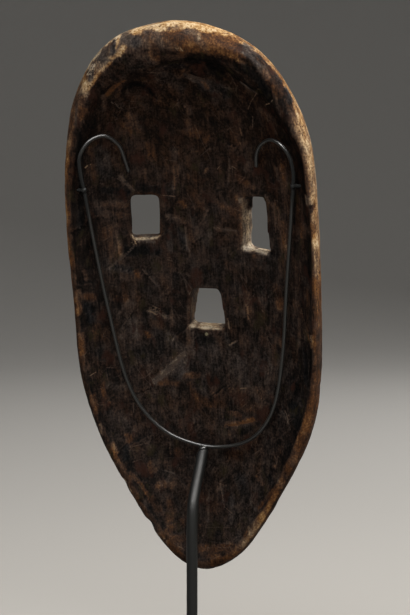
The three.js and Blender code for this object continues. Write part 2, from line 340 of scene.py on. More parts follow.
print("mask")
carving = {
    # The outline's corners, x and z, from the top towards +x and round.
    "outline": [
        (2, 199.5), (24, 197), (46, 189.5), (64, 173.5), (78.5, 148), (87.5, 110), (91, 62), (90.5, 0),
        (90, -48), (82, -91), (58.8, -146), (36.8, -184), (23, -197), (7, -201.5), (-11, -194.5),
        (-25, -182.5), (-51, -144), (-77, -93), (-84.5, -56), (-88, 5), (-89, 66), (-86.2, 116), (-76, 147),
        (-59, 173), (-42, 186.5), (-21, 195.5)],
    "pole": (0, 20), "spokes": 480,
    # Stations round the rim: how much of the outline lies before them, and a value there.
    "rimWidths": [
        (0, 24), (0.03, 27), (0.06, 25), (0.1, 14.5), (0.14, 8.5), (0.18, 5), (0.3, 4.6), (0.36, 6.5),
        (0.5, 9), (0.55, 5.5), (0.64, 8), (0.7, 4.2), (0.8, 3.6), (0.85, 4.5), (0.9, 13), (0.93, 18.5),
        (0.97, 18.5)],
    "ridgeShares": [
        (0, 0.66), (0.03, 0.5), (0.045, 0.42), (0.075, 0.46), (0.1, 0.7), (0.13, 0.8), (0.87, 0.8),
        (0.888, 0.6), (0.9, 0.36), (0.915, 0.24), (0.938, 0.22), (0.952, 0.45), (0.967, 0.74),
        (0.985, 0.78)],
    "bevelPower": 2.67,
    "bevelDrops": [
        (0, 10), (0.08, 8), (0.14, 6), (0.24, 4), (0.36, 4), (0.48, 6), (0.58, 4), (0.7, 6), (0.8, 7),
        (0.87, 7), (0.94, 9)],
    "crestDrops": [
        (0, 2.0), (0.03, 4.0), (0.07, 4.2), (0.1, 2.4), (0.13, 1.2), (0.87, 1.2), (0.9, 3.2), (0.94, 4.2),
        (0.96, 2.4), (0.975, 1.2), (0.99, 1.2)],
    "edgeThickness": 7.0, "edgeRound": 3.5, "rimDrop": 3.0,
    "hollowDepth": 31.0, "hollowRoundness": 0.85,
    "hollowPowers": [(0, 6), (0.24, 2.6), (0.4, 2.4), (0.62, 2.4), (0.76, 2.6)],
    "faceDepth": 50.0, "facePower": 2.4, "faceRoundness": 0.8,
    "cheekSetBack": 5.0, "browHeight": 92.0, "browArch": 0.004, "browBlend": 9.0, "cheekReach": 0.74,
    "cheekBlend": 0.16,
    "nose": {"top": 94.0, "topOverrun": 6.0, "bridge": 80.0, "bottom": 14.0, "undercut": 4.0,
             "bridgeHalf": 6.5, "tipHalf": 14.5, "underShare": 0.94, "rootDepth": 42.0, "topDepth": 46.0,
             "bridgeDepth": 50.5, "tipDepth": 59.0, "underDepth": 50.0, "root": 40.0, "rootInside": 8.0,
             "wedgePower": 1.6, "sections": 50, "underSections": 6, "underStep": 0.8, "columns": 41},
    # The openings: at the back and at the front of the wall, the depth and four corners.
    "openings": [
        {"back": (-28.0, [(49.8, 73), (29.3, 72.5), (30.8, 41.9), (51.2, 41.4)]),
         "front": (-40.0, [(54.5, 72), (31, 71.5), (32.5, 41), (55.5, 42.2)])},
        {"back": (-28.0, [(-28.8, 71.8), (-47.8, 72.2), (-50.3, 31.6), (-28.7, 33.7)]),
         "front": (-40.0, [(-35.9, 70.5), (-51, 71.5), (-53.5, 30), (-31.5, 33.2)])},
        {"back": (-30.5, [(11.4, 3.5), (-9.7, 3.5), (-12.6, -25.6), (14.2, -23.7)]),
         "front": (-44.5, [(8.4, 2), (-8.5, 2), (-12.5, -25.8), (14.2, -25)])}],
    "openingSquareness": 9.0, "openingOverrun": 12.0, "openingRows": 24, "openingColumns": 96,
    # The skin's rings on each stretch: from, to and how many.
    "hollowRings": (0.03, 1, 70), "slopeRings": (0.12, 1, 8), "bevelRings": (0.9, 0, 12),
    "edgeRings": (0.25, 1, 4), "faceRings": (0.98, 0.03, 64), "slopePower": 1.4,
    "voxel": 1.4, "smoothings": 4, "smoothShares": (0.5, -0.53),
    # How the crest is worn round: its reach, the share of it worn in full, how often, and on how broad a rim.
    "crestReach": 9.0, "crestFull": 0.4, "crestRounds": 46, "crestBreadth": (8, 15), "crestShare": 0.5,
    # Where each side of the mask begins and ends: shares of the way through its wall, millimetres in from
    # the outline, and shares of the rim's width.
    "backEnds": (0.1, 0.34), "faceStarts": (0.62, 0.86), "edgeEnds": (2.5, 7), "openingStarts": (4, 10),
    "hollowStarts": (0.85, 1.15), "rimEnds": (0.85, 1.1),
}


# A value, or a row of values, that eases between its stations round the rim.
def aroundRim(stations, share):
    table = np.array([*stations, (1, *stations[0][1:])], float)
    share = np.asarray(share) % 1
    low = np.clip(np.searchsorted(table[:, 0], share, side="right") - 1, 0, len(table) - 2)
    way = (share - table[low, 0]) / (table[low + 1, 0] - table[low, 0])
    way = (way * way * (3 - 2 * way))[..., None]
    between = table[low, 1:] + (table[low + 1, 1:] - table[low, 1:]) * way
    return between[..., 0] if table.shape[1] == 2 else np.moveaxis(between, -1, 0)


# The outline at even arc lengths, with its normals turned inwards.
def walkOutline():
    spots = walkEvenly(curveThrough(carving["outline"], True), carving["spokes"], True)
    along = np.roll(spots, -1, axis=0) - np.roll(spots, 1, axis=0)
    along /= np.linalg.norm(along, axis=1)[:, None]
    return np.arange(len(spots)) / len(spots), spots, np.stack([along[:, 1], -along[:, 0]], -1)


rimShare, outlineSpots, inward = walkOutline()
rimWidth = aroundRim(carving["rimWidths"], rimShare)
ridgeInset = rimWidth * aroundRim(carving["ridgeShares"], rimShare)
crestDrop = aroundRim(carving["crestDrops"], rimShare)
bevelDrop = aroundRim(carving["bevelDrops"], rimShare)
innerEdge = outlineSpots + inward * rimWidth[:, None]
frontEdge = outlineSpots + inward * carving["edgeRound"]


# How far out a place lies between the pole (0) and a loop round it (1), and its share round the rim.
def polarPlace(loop, x, z):
    poleX, poleZ = carving["pole"]
    angles = np.arctan2(loop[:, 0] - poleX, loop[:, 1] - poleZ) % tau
    order = np.argsort(angles)
    reach = np.hypot(loop[:, 0] - poleX, loop[:, 1] - poleZ)
    angle = np.arctan2(x - poleX, z - poleZ) % tau
    turned = angles[order] / tau
    shares = rimShare[order] + np.round(turned - rimShare[order])
    share = np.interp(angle, angles[order], shares - turned, period=tau) + angle / tau
    whole = np.interp(angle, angles[order], reach[order], period=tau)
    return share % 1, np.hypot(x - poleX, z - poleZ) / whole


# Depth of the hollow: a bowl (1 - t^power)^roundness under the crest, t = 0 at the pole and 1 at the rim.
def hollowDepthAt(share, t):
    bowl = np.clip(1 - t ** aroundRim(carving["hollowPowers"], share), 0, None) ** carving["hollowRoundness"]
    drop = aroundRim(carving["crestDrops"], share)
    return -drop - (carving["hollowDepth"] - drop) * bowl


# Depth of the face: a dome (1 - t^power)^roundness in front of the edge, set back under an arched brow.
def faceDepthAt(share, t, x, z):
    edge = -aroundRim(carving["bevelDrops"], share) - carving["edgeThickness"] - carving["edgeRound"]
    dome = np.clip(1 - t ** carving["facePower"], 0, None) ** carving["faceRoundness"]
    brow = carving["browHeight"] - carving["browArch"] * x * x
    below = 1 - ease(z, brow - carving["browBlend"], brow + carving["browBlend"])
    within = 1 - ease(t, carving["cheekReach"], carving["cheekReach"] + carving["cheekBlend"])
    return edge - (carving["faceDepth"] + edge) * dome + carving["cheekSetBack"] * below * within


def hollowAt(x, z):
    share, t = polarPlace(innerEdge, x, z)
    return hollowDepthAt(share, np.minimum(t, 1))


# The rim is taken as one plane, under its crest and over its bevel.
def rimAt(x, z):
    return -carving["rimDrop"]


def faceAt(x, z):
    share, t = polarPlace(frontEdge, x, z)
    return faceDepthAt(share, np.minimum(t, 1), x, z)


# The uncut skin, row by row: hollow rings scaled towards the pole, the slope up to the rim's ridge and the
# bevel outside it (the drop of each grows as (1 - way)^power), the edge, its round front corner, and the
# face rings.
def carveShell():
    pole = np.array(carving["pole"], float)

    def row(spots, depth):
        return np.stack([spots[:, 0], np.broadcast_to(depth, len(spots)), spots[:, 1]], -1)

    rows = []
    for t in np.sin(np.linspace(*carving["hollowRings"]) * math.pi / 2):
        rows.append(row(pole + (innerEdge - pole) * t, hollowDepthAt(rimShare, t)))
    for way in np.linspace(*carving["slopeRings"]):
        inset = rimWidth + (ridgeInset - rimWidth) * way
        drop = -crestDrop * (1 - way) ** carving["slopePower"]
        rows.append(row(outlineSpots + inward * inset[:, None], drop))
    for way in np.linspace(*carving["bevelRings"]):
        drop = -bevelDrop * (1 - way) ** carving["bevelPower"]
        rows.append(row(outlineSpots + inward * (ridgeInset * way)[:, None], drop))
    for way in np.linspace(*carving["edgeRings"]):
        rows.append(row(outlineSpots, -bevelDrop - carving["edgeThickness"] * way))
    for turn in np.linspace(*carving["edgeRings"]) * math.pi / 2:
        inset = carving["edgeRound"] * (1 - math.cos(turn))
        depth = -bevelDrop - carving["edgeThickness"] - carving["edgeRound"] * math.sin(turn)
        rows.append(row(outlineSpots + inward * inset, depth))
    for t in np.sin(np.linspace(*carving["faceRings"]) * math.pi / 2):
        spots = pole + (frontEdge - pole) * t
        rows.append(row(spots, faceDepthAt(rimShare, t, spots[:, 0], spots[:, 1])))
    return makeLoft("mask_shell", rows, None)


# The nose, section by section down the face: |x / half|^power + |depth / height| = 1, a soft wedge on a deep
# root. Down is counted from the mask's middle.
def carveNose():
    nose = carving["nose"]
    tip = nose["bottom"] + nose["undercut"]
    downs = -np.array([nose["top"] + nose["topOverrun"], nose["top"], nose["bridge"], tip, nose["bottom"]])
    halves = [nose["bridgeHalf"]] * 3 + [nose["tipHalf"], nose["tipHalf"] * nose["underShare"]]
    depths = [nose[place] for place in ("rootDepth", "topDepth", "bridgeDepth", "tipDepth", "underDepth")]
    down = np.concatenate([np.linspace(downs[0], downs[3], nose["sections"]),
                           np.linspace(downs[3] + nose["underStep"], downs[4], nose["underSections"])])
    half = np.interp(down, downs, halves)[:, None]
    deep = np.interp(down, downs, depths)[:, None] - nose["root"]
    across = np.linspace(-1, 1, nose["columns"])
    wedge = -nose["root"] - deep * (1 - np.abs(across) ** nose["wedgePower"])
    root = np.full((len(down), nose["columns"] - 2), nose["rootInside"] - nose["root"])
    x = np.hstack([half * across, half * across[-2:0:-1]])
    rows = np.stack([x, np.hstack([wedge, root]), np.broadcast_to(-down[:, None], x.shape)], -1)
    return makeLoft("nose", rows, None)


# An opening's cutter: at each depth a rounded square |a|^n + |b|^n = 1 laid over the four corners.
def cutOpening(opening):
    (backDepth, backCorners), (frontDepth, frontCorners) = opening["back"], opening["front"]
    turn = np.linspace(0, tau, carving["openingColumns"], endpoint=False)
    power = 2 / carving["openingSquareness"]
    a = (np.sign(np.cos(turn)) * np.abs(np.cos(turn)) ** power)[:, None]
    b = (np.sign(np.sin(turn)) * np.abs(np.sin(turn)) ** power)[:, None]
    rows = []
    overrun = carving["openingOverrun"]
    for depth in np.linspace(frontDepth - overrun, backDepth + overrun, carving["openingRows"]):
        way = (depth - backDepth) / (frontDepth - backDepth)
        corners = np.array(backCorners) * (1 - way) + np.array(frontCorners) * way
        topLeft, topRight, lowRight, lowLeft = corners
        top = topLeft + (topRight - topLeft) * (a + 1) / 2
        low = lowLeft + (lowRight - lowLeft) * (a + 1) / 2
        spots = low + (top - low) * (b + 1) / 2
        rows.append(np.stack([spots[:, 0], np.full(len(turn), depth), spots[:, 1]], -1))
    return makeLoft("opening", rows, None)


# The mean of each point's neighbours along the edges.
def neighbourMean(points, edges):
    count = np.bincount(edges.ravel(), minlength=len(points))
    total = [np.bincount(edges[:, 0], points[edges[:, 1], axis], len(points))
             + np.bincount(edges[:, 1], points[edges[:, 0], axis], len(points)) for axis in range(3)]
    return np.stack(total, -1) / np.maximum(count, 1)[:, None]


# Evens out the remeshing's steps without shrinking: each round goes in by one share and out by a larger.
def evenOut(points, edges, rounds):
    for _ in range(rounds):
        for share in carving["smoothShares"]:
            points = points + (neighbourMean(points, edges) - points) * share
    return points


# Wears the crest round along the broad rims: points within reach of the rim's inner edge move a share of the
# way to their neighbours' mean, over and over.
def roundCrest(points, edges):
    sides = findSides(points)
    reach = carving["crestReach"]
    near = 1 - ease(np.abs(sides["inset"] - sides["width"]), reach * carving["crestFull"], reach)
    near = near * (sides["rim"] + sides["hollow"]) * ease(sides["width"], *carving["crestBreadth"])
    near = (near * carving["crestShare"])[:, None]
    for _ in range(carving["crestRounds"]):
        points = points + (neighbourMean(points, edges) - points) * near
    return points


# A mesh's points, edges and point normals as arrays, in the mask's own frame.
def readMesh(mesh, turnToMask=False):
    points, normals = np.zeros(len(mesh.vertices) * 3), np.zeros(len(mesh.vertices) * 3)
    mesh.vertices.foreach_get("co", points)
    mesh.vertices.foreach_get("normal", normals)
    edges = np.zeros(len(mesh.edges) * 2, np.int64)
    mesh.edges.foreach_get("vertices", edges)
    points, normals = points.reshape(-1, 3), normals.reshape(-1, 3)
    if turnToMask:
        ahead = toMask((points + normals * mm) / mm)
        points = toMask(points / mm)
        normals = ahead - points
    return points, normals, edges.reshape(-1, 2)


# The shell with its openings cut and its nose joined, remeshed in even quads and smoothed.
def buildShell():
    shell = carveShell()
    joinOrCut(shell, [cutOpening(opening) for opening in carving["openings"]], "DIFFERENCE")
    joinOrCut(shell, [carveNose()], "UNION")
    step = shell.modifiers.new("even", "REMESH")
    step.mode = "VOXEL"
    step.voxel_size = carving["voxel"]
    step.adaptivity = 0
    bakeModifiers(shell)
    points, _, edges = readMesh(shell.data)
    points = roundCrest(evenOut(points, edges, carving["smoothings"]), edges)
    shell.data.vertices.foreach_set("co", points.ravel())
    shell.data.update()
    print("mask shell", len(shell.data.polygons), "faces")
    return shell


# Distance from each place to the outline, counted inwards, and the nearest share round the rim.
def insetFromOutline(x, z):
    inset, share = np.zeros(len(x)), np.zeros(len(x))
    for low in range(0, len(x), batch):
        part = slice(low, low + batch)
        offX, offZ = x[part, None] - outlineSpots[:, 0], z[part, None] - outlineSpots[:, 1]
        near = np.argmin(offX ** 2 + offZ ** 2, axis=1)
        row = np.arange(len(near))
        inset[part] = offX[row, near] * inward[near, 0] + offZ[row, near] * inward[near, 1]
        share[part] = rimShare[near]
    return inset, share


# Which side of the mask each point is on, as shares from 0 to 1. A point's depth between the back and
# the face tells the back, the walls and the front apart.
def findSides(points):
    x, y, z = points.T
    inset, share = insetFromOutline(x, z)
    width = aroundRim(carving["rimWidths"], share)
    ridge = width * aroundRim(carving["ridgeShares"], share)
    way = np.clip(inset / ridge, 0, 1)
    bevel = -aroundRim(carving["bevelDrops"], share) * (1 - way) ** carving["bevelPower"]
    back = np.where(inset > width, hollowAt(x, z), bevel)
    front = faceAt(x, z)
    through = np.clip((back - y) / (back - front), 0, 1)
    behind = 1 - ease(through, *carving["backEnds"])
    face = ease(through, *carving["faceStarts"])
    wall = (1 - behind) * (1 - face)
    return {"inset": inset, "share": share, "width": width, "ridge": ridge, "face": face,
            "edge": wall * (1 - ease(inset, *carving["edgeEnds"])),
            "opening": wall * ease(inset, *carving["openingStarts"]),
            "hollow": behind * ease(inset / width, *carving["hollowStarts"]),
            "rim": behind * (1 - ease(inset / width, *carving["rimEnds"]))}


# Shallow tool cuts: each point belongs to its nearest jittered cell centre, and its depth is that cell's
# own offset plus a tilt across it plus a bowl growing with the square of the distance to the centre.
def toolCuts(x, z, width, length, seed):
    u, v = x / width, z / length
    cellU, cellV = np.floor(u).astype(np.int64), np.floor(v).astype(np.int64)
    best = np.full(len(x), np.inf)
    height = np.zeros(len(x))
    margin = relief["cellMargin"]
    for stepU in (-1, 0, 1):
        for stepV in (-1, 0, 1):
            cells = np.stack([cellU + stepU, cellV + stepV, np.zeros_like(cellU)], -1)
            offU = u - cells[:, 0] - margin - (1 - 2 * margin) * cellNumber(cells, seed)
            offV = v - cells[:, 1] - margin - (1 - 2 * margin) * cellNumber(cells, seed + 1)
            away = offU ** 2 + offV ** 2
            nearer = away < best
            tilt = (cellNumber(cells, seed + 2) - 0.5) * offU + (cellNumber(cells, seed + 3) - 0.5) * offV
            own = (cellNumber(cells, seed + 4) - 0.5) * relief["cutOffset"]
            height = np.where(nearer, own + 2 * relief["cutTilt"] * tilt + away, height)
            best = np.where(nearer, away, best)
    return height


# Each point's nearest stroke: the signed distance across it and how far past its end, both in the
# stroke's own half widths, then the wear it leaves and its hue. The sign keeps a thin line sharp, and
# points well away from every stroke count as far past its end.
def nearestStroke(x, z, strokes):
    starts, ends, kinds = [], [], []
    for width, wear, hue, *path in strokes:
        corners = np.reshape(path, (-1, 2))
        starts.append(corners[:-1])
        ends.append(corners[1:])
        kinds += [(width, wear, hue)] * (len(corners) - 1)
    starts, ends, kinds = np.vstack(starts), np.vstack(ends), np.array(kinds, float)
    length = np.linalg.norm(ends - starts, axis=1)
    along = (ends - starts) / length[:, None]
    found = np.zeros((4, len(x)))
    for low in range(0, len(x), batch):
        part = slice(low, low + batch)
        offX, offZ = x[part, None] - starts[:, 0], z[part, None] - starts[:, 1]
        run = offX * along[:, 0] + offZ * along[:, 1]
        side = offX * along[:, 1] - offZ * along[:, 0]
        past = np.maximum(np.maximum(-run, run - length), 0)
        near = np.argmin(np.hypot(side, past) / kinds[:, 0] ** 0.5, axis=1)
        row = np.arange(len(near))
        half = kinds[near, 0] / 2
        across, beyond = side[row, near], past[row, near]
        beyond = np.where(np.abs(across) > half + wearing["strokeReach"], wearing["farPast"], beyond)
        found[:, part] = across / half, beyond / half, kinds[near, 1], kinds[near, 2]
    return found


relief = {
    "waveSize": 46.0, "waveHeight": 0.7, "waveShares": (0.4, 0.6), "cutWidth": 15.0, "cutLength": 34.0,
    "cutDepth": 0.6, "cutTilt": 0.35, "cutLean": 0.2, "cutLevel": 0.25, "cutOffset": 0.6, "cellMargin": 0.15,
    "rimWaveSize": 9.0, "rimWave": 0.45, "faceCutWidth": 17.0, "faceCutLength": 22.0, "faceCut": 0.3,
    "raggedSize": 3.5, "raggedness": 0.5,
    "seeds": {"wave": 3, "cuts": 11, "rimWave": 21, "faceCuts": 31, "ragged": 41},
    # Dents and chips: x, z, half width, half height, depth, and the side of the mask they are on.
    "dents": [
        (45.5, -166.5, 7, 5, 2.4, "edge"), (45.5, -166.5, 6, 4, 1.6, "rim"),
        (-88.6, 72, 3, 1.8, 1.1, "rim"), (-90, 23, 4, 2.2, 0.9, "edge"), (-84, -60, 5, 5, 0.7, "edge"),
        (-84, -60, 5, 5, 0.7, "rim"), (-50.6, 32.6, 3, 3, 1.6, "hollow"), (62, -134, 3, 4, 0.8, "rim"),
        (52, -148, 4, 3, 0.8, "rim"), (-18, 168, 20, 7, 2.2, "hollow"), (-17, 175, 17, 5, 1.6, "rim"),
        (37, -13, 6, 4, 0.5, "hollow"), (26, -61, 10, 9, -0.5, "hollow"), (34.5, -178, 2.5, 4, 1.0, "rim"),
        (84, 98, 3, 5, 0.5, "rim"), (-62, 166, 5, 4, 0.6, "rim")],
}


# Moves the shell's points along their normals by the waves, tool cuts and dents of a hand-carved block.
def carveRelief(shell):
    points, normals, _ = readMesh(shell.data)
    x, _, z = points.T
    sides = findSides(points)
    seeds = relief["seeds"]
    everywhere, inHollow = relief["waveShares"]
    waves = relief["waveHeight"] * layeredNoise(points, relief["waveSize"], seeds["wave"])
    height = waves * (everywhere + inHollow * sides["hollow"])
    cuts = toolCuts(x, z + x * relief["cutLean"], relief["cutWidth"], relief["cutLength"], seeds["cuts"])
    height += relief["cutDepth"] * (cuts - relief["cutLevel"]) * sides["hollow"]
    waves = relief["rimWave"] * layeredNoise(points, relief["rimWaveSize"], seeds["rimWave"])
    height += waves * (sides["rim"] + sides["edge"])
    cuts = toolCuts(x, z, relief["faceCutWidth"], relief["faceCutLength"], seeds["faceCuts"])
    height += relief["faceCut"] * (cuts - relief["cutLevel"]) * sides["face"]
    ragged = 1 + relief["raggedness"] * layeredNoise(points, relief["raggedSize"], seeds["ragged"])
    for dentX, dentZ, halfX, halfZ, depth, side in relief["dents"]:
        bowl = np.exp(-(((x - dentX) / halfX) ** 2 + ((z - dentZ) / halfZ) ** 2) * ragged)
        height -= depth * bowl * sides[side]
    shell.data.vertices.foreach_set("co", toStand(points + normals * height[:, None]).ravel())
    shell.data.update()


# How the wood is worn, with painted light and shade in places. A wear of 0 is blackened, 0.25 patina,
# 0.5 orange-brown, 0.7 tan and 1 pale bare wood, and a hue goes from -1, a painted grey sheen that stands
# in for light reflected off glossy patina, through 0, a brown grey, to 1, orange.
wearing = {
    "hollowWear": 0.207, "hollowHues": (0.75, 0.32), "hueHeights": (10, 110), "wallDepths": (3, 16),
    "faceWear": 0.5, "faceHue": 0.5, "openingHue": 0.2,
    # Where the front's skin turns to face sideways it counts as edge, or further in as opening.
    "forwards": (0.25, 0.6), "openingStarts": (4, 8),
    # Across the rim: millimetres past its ridge, widths of its outer line, and how far that line wanders,
    # in millimetres and in its own widths.
    "ridgeStarts": (-3.4, -0.9), "slopeStarts": (0, 1.4), "outerEnds": (0.7, 1.3), "outerSwing": (0.9, 0.5),
    # On the walls of the openings, painted light: walls facing up are painted paler as if lit from above (the
    # left eye's, any other), and walls facing sideways paler as if lit from the side (the right eye's, the
    # mouth's, the left eye's).
    "eyesBeyond": 20, "eyesAbove": 20, "mouthBelow": 10, "upwards": (0.4, 0.8), "cutWear": 0.2,
    "sillPaintedLight": (0.24, 0.04), "jambPaintedLight": (0.4, 0.28, 0.16),
    # The noises that stir the wear: height, size and seed.
    "noises": {"ridge": (0.8, 5, 52), "outer": (1, 6, 51), "hollow": (0.05, 30, 53), "hue": (0.4, 26, 54)},
    # How much more the mottling swings low in the hollow and on the rim.
    "swings": (0.15, 0.15), "swingHeights": (-60, 20),
    "smearShare": 0.85, "smearEnds": (0.55, 1.35), "smearSwing": 0.3, "smearSeed": 60,
    # Past a stroke's edge by more than its reach a point counts as far past its end, and so does the front.
    "strokeReach": 2.4, "farPast": 60, "offBack": 40, "leastSide": 0.2,
    # Round the rim: share, how wide its outer line is, the wear of that line, of its middle, of its ridge,
    # of the slope inside the ridge, of the hollow's wall and of the outer edge, and the hue.
    # These wears hold painted light as well as the wood's own wear: the hollow's wall under the top of the
    # rim (shares 0.86 round to 0.1) and the slope at shares 0.88 to 0.94 are painted near black for the shade
    # under the overhang, and the outer line is paler across the top and down the -x side than on the +x side,
    # partly for the wear and partly for the light falling there.
    "rimStations": [
        (0, 5, 0.82, 0.33, 0.31, 0.2, 0.08, 0.72, 1.0), (0.012, 4.5, 0.84, 0.32, 0.3, 0.18, 0.1, 0.72, 0.8),
        (0.025, 4, 0.8, 0.36, 0.3, 0.19, 0.12, 0.7, 0.5), (0.035, 2, 0.74, 0.34, 0.3, 0.18, 0.12, 0.66, 0.4),
        (0.044, 1.3, 0.82, 0.38, 0.46, 0.17, 0.12, 0.72, 0.3),
        (0.055, 1.3, 0.8, 0.36, 0.58, 0.15, 0.1, 0.72, 0.15),
        (0.067, 1.3, 0.8, 0.4, 0.64, 0.15, 0.1, 0.72, 0.25),
        (0.08, 1.4, 0.76, 0.42, 0.66, 0.15, 0.08, 0.66, 0.45),
        (0.09, 1.5, 0.68, 0.5, 0.54, 0.18, 0.08, 0.58, 0.6), (0.1, 1.4, 0.5, 0.38, 0.34, 0.2, 0.1, 0.44, 0.6),
        (0.11, 1.6, 0.44, 0.36, 0.24, 0.2, 0.1, 0.42, 0.7), (0.125, 2, 0.46, 0.42, 0.16, 0.18, 0.1, 0.4, 0.9),
        (0.145, 2.4, 0.47, 0.45, 0.14, 0.16, 0.1, 0.4, 0.9),
        (0.175, 2.4, 0.42, 0.42, 0.18, 0.16, 0.1, 0.36, 0.9),
        (0.2, 2.4, 0.42, 0.42, 0.26, 0.18, 0.1, 0.34, 0.85),
        (0.25, 1.4, 0.32, 0.26, 0.2, 0.16, 0.12, 0.22, 0.8),
        (0.3, 1.2, 0.26, 0.15, 0.13, 0.14, 0.13, 0.16, 0.8),
        (0.345, 1, 0.24, 0.12, 0.12, 0.14, 0.14, 0.14, 0.75),
        (0.36, 1, 0.24, 0.13, 0.14, 0.16, 0.15, 0.14, 0.75),
        (0.375, 1, 0.26, 0.19, 0.19, 0.18, 0.17, 0.16, 0.75),
        (0.388, 1.4, 0.24, 0.2, 0.2, 0.18, 0.17, 0.16, 0.75),
        (0.402, 1.6, 0.22, 0.24, 0.26, 0.2, 0.17, 0.18, 0.7),
        (0.421, 1.6, 0.2, 0.22, 0.24, 0.2, 0.16, 0.18, 0.6),
        (0.438, 1.6, 0.15, 0.2, 0.25, 0.2, 0.16, 0.18, 0.5),
        (0.452, 1.6, 0.2, 0.28, 0.28, 0.22, 0.18, 0.2, 0.7),
        (0.48, 1.6, 0.16, 0.22, 0.25, 0.22, 0.2, 0.18, 0.8),
        (0.515, 1.6, 0.18, 0.26, 0.28, 0.24, 0.22, 0.2, 0.85),
        (0.538, 1.6, 0.2, 0.42, 0.42, 0.3, 0.25, 0.24, 0.75),
        (0.555, 1.8, 0.18, 0.54, 0.5, 0.32, 0.25, 0.22, 0.75),
        (0.575, 1.8, 0.18, 0.5, 0.46, 0.3, 0.24, 0.22, 0.85),
        (0.6, 1.6, 0.2, 0.4, 0.42, 0.28, 0.22, 0.24, 0.9), (0.61, 1.6, 0.2, 0.3, 0.32, 0.25, 0.2, 0.24, 0.8),
        (0.635, 1.6, 0.24, 0.31, 0.31, 0.22, 0.17, 0.24, 1),
        (0.66, 1.6, 0.28, 0.33, 0.3, 0.18, 0.14, 0.28, 1),
        (0.69, 1.6, 0.34, 0.37, 0.28, 0.15, 0.12, 0.32, 0.95),
        (0.705, 1.6, 0.28, 0.3, 0.3, 0.17, 0.13, 0.3, 0.85),
        (0.718, 1.6, 0.26, 0.34, 0.34, 0.2, 0.18, 0.32, 0.85),
        (0.73, 1.6, 0.37, 0.37, 0.25, 0.21, 0.19, 0.36, 0.95),
        (0.76, 1.6, 0.46, 0.38, 0.24, 0.2, 0.18, 0.42, 0.95),
        (0.772, 1.6, 0.56, 0.44, 0.28, 0.19, 0.15, 0.5, 0.7),
        (0.79, 1.8, 0.62, 0.6, 0.36, 0.17, 0.14, 0.56, 0.65),
        (0.8, 1.8, 0.52, 0.44, 0.3, 0.17, 0.12, 0.56, 0.5),
        (0.812, 1.8, 0.5, 0.42, 0.3, 0.17, 0.12, 0.56, 0.5),
        (0.818, 1.8, 0.62, 0.58, 0.4, 0.17, 0.1, 0.62, 0.5),
        (0.86, 2, 0.62, 0.58, 0.38, 0.12, 0.08, 0.62, 0.5),
        (0.878, 1.4, 0.64, 0.5, 0.26, 0.09, 0.07, 0.64, 0.55),
        (0.89, 0.6, 0.66, 0.26, 0.14, 0.08, 0.07, 0.62, 0.6),
        (0.9, 0.1, 0.6, 0.13, 0.11, 0.07, 0.07, 0.62, 1.0),
        (0.912, 0.1, 0.6, 0.12, 0.11, 0.08, 0.08, 0.62, 1.1),
        (0.935, 0.1, 0.6, 0.15, 0.13, 0.12, 0.09, 0.64, 1.1),
        (0.95, 0.6, 0.7, 0.27, 0.27, 0.19, 0.08, 0.64, 1.0),
        (0.965, 2, 0.74, 0.34, 0.36, 0.25, 0.05, 0.68, 1.0),
        (0.985, 3.2, 0.8, 0.33, 0.38, 0.23, 0.04, 0.72, 1.0)],
    # Smears on the walls of the openings and the hollow round them: half width, wear, hue, then the path's
    # x and z in turn.
    "cutSmears": [
        (3.2, 0.52, 0.0, -30.5, 69, -31, 52), (3.4, 0.66, -0.2, -32, 56, -31.5, 38),
        (2.4, 0.12, 0.4, -35.5, 71, -35, 63), (1.6, 0.78, -0.3, -34, 58, -34.5, 54),
        (2.2, 0.95, -0.2, -30.5, 34.5, -34, 33.5), (0.7, 0.9, -0.1, -36, 33.4, -43, 32.1, -48, 31.4),
        (1.4, 0.3, 0.5, -28.4, 66, -28.2, 40), (0.8, 0.42, -0.3, 46, 39.4, 35, 39),
        (0.8, 0.66, 0.35, 12, -24.2, 0, -25.2, -10.5, -26.2), (1.8, 0.92, -0.1, 13.2, -24, 11.8, -24.4),
        (0.7, 0.9, 0, 8, -25.2, -6, -26.2)],
    # On the hollow's edge below the left eye.
    "lipSmears": [(0.75, 0.94, 0, 50.4, 43.8, 49.4, 42, 46, 41.2, 38, 40.9, 31.5, 42.4)],
    # Strokes placed on the mask itself: width, the wear left, hue, then the path's x and z in turn.
    "placedStrokes": [
        (1, 0.72, 0.3, -58, 142.5, -61, 144), (0.9, 0.62, 0.3, -63.5, 146, -64.5, 147.5),
        (1.4, 0.56, 0.6, -30.2, -9, -30.4, -17), (1, 0.8, 0.2, 63.5, 172, 62, 166),
        (0.8, 0.75, 0.2, 60.5, 171, 59.6, 167), (1.2, 0.72, 0.2, 56, 174.6, 54.8, 172.8),
        (0.9, 0.82, 0.4, -2.6, 184.4, -4.2, 182), (0.8, 0.7, 0.4, 0.2, 183.8, -0.8, 182.2),
        (0.9, 0.8, 0.4, 63, -131.5, 61.5, -134), (1, 0.7, 0.4, 59, -138.5, 57.6, -141),
        (0.8, 0.35, 0.5, -36.4, 64.9, -36.9, 41), (0.5, 0.4, 0.5, 6.1, -12, 5.9, -18),
        (1.6, 0.1, 0.5, -87, 73.2, -89.5, 70.6), (0.5, 0.95, -0.2, 65, 170.5, 66.2, 165),
        (0.45, 1, -0.3, 63.4, 171.5, 64.9, 165), (0.5, 0.9, -0.3, 61.9, 172.4, 63.4, 165.8),
        (0.5, 1, -0.2, 60.3, 173, 61.9, 167), (0.4, 0.9, -0.2, 58.9, 173.4, 60.3, 168.6)],
    # A speck of dust under the mouth: x, z and size.
    "dust": (1.9, -29.9, 1.4),
}
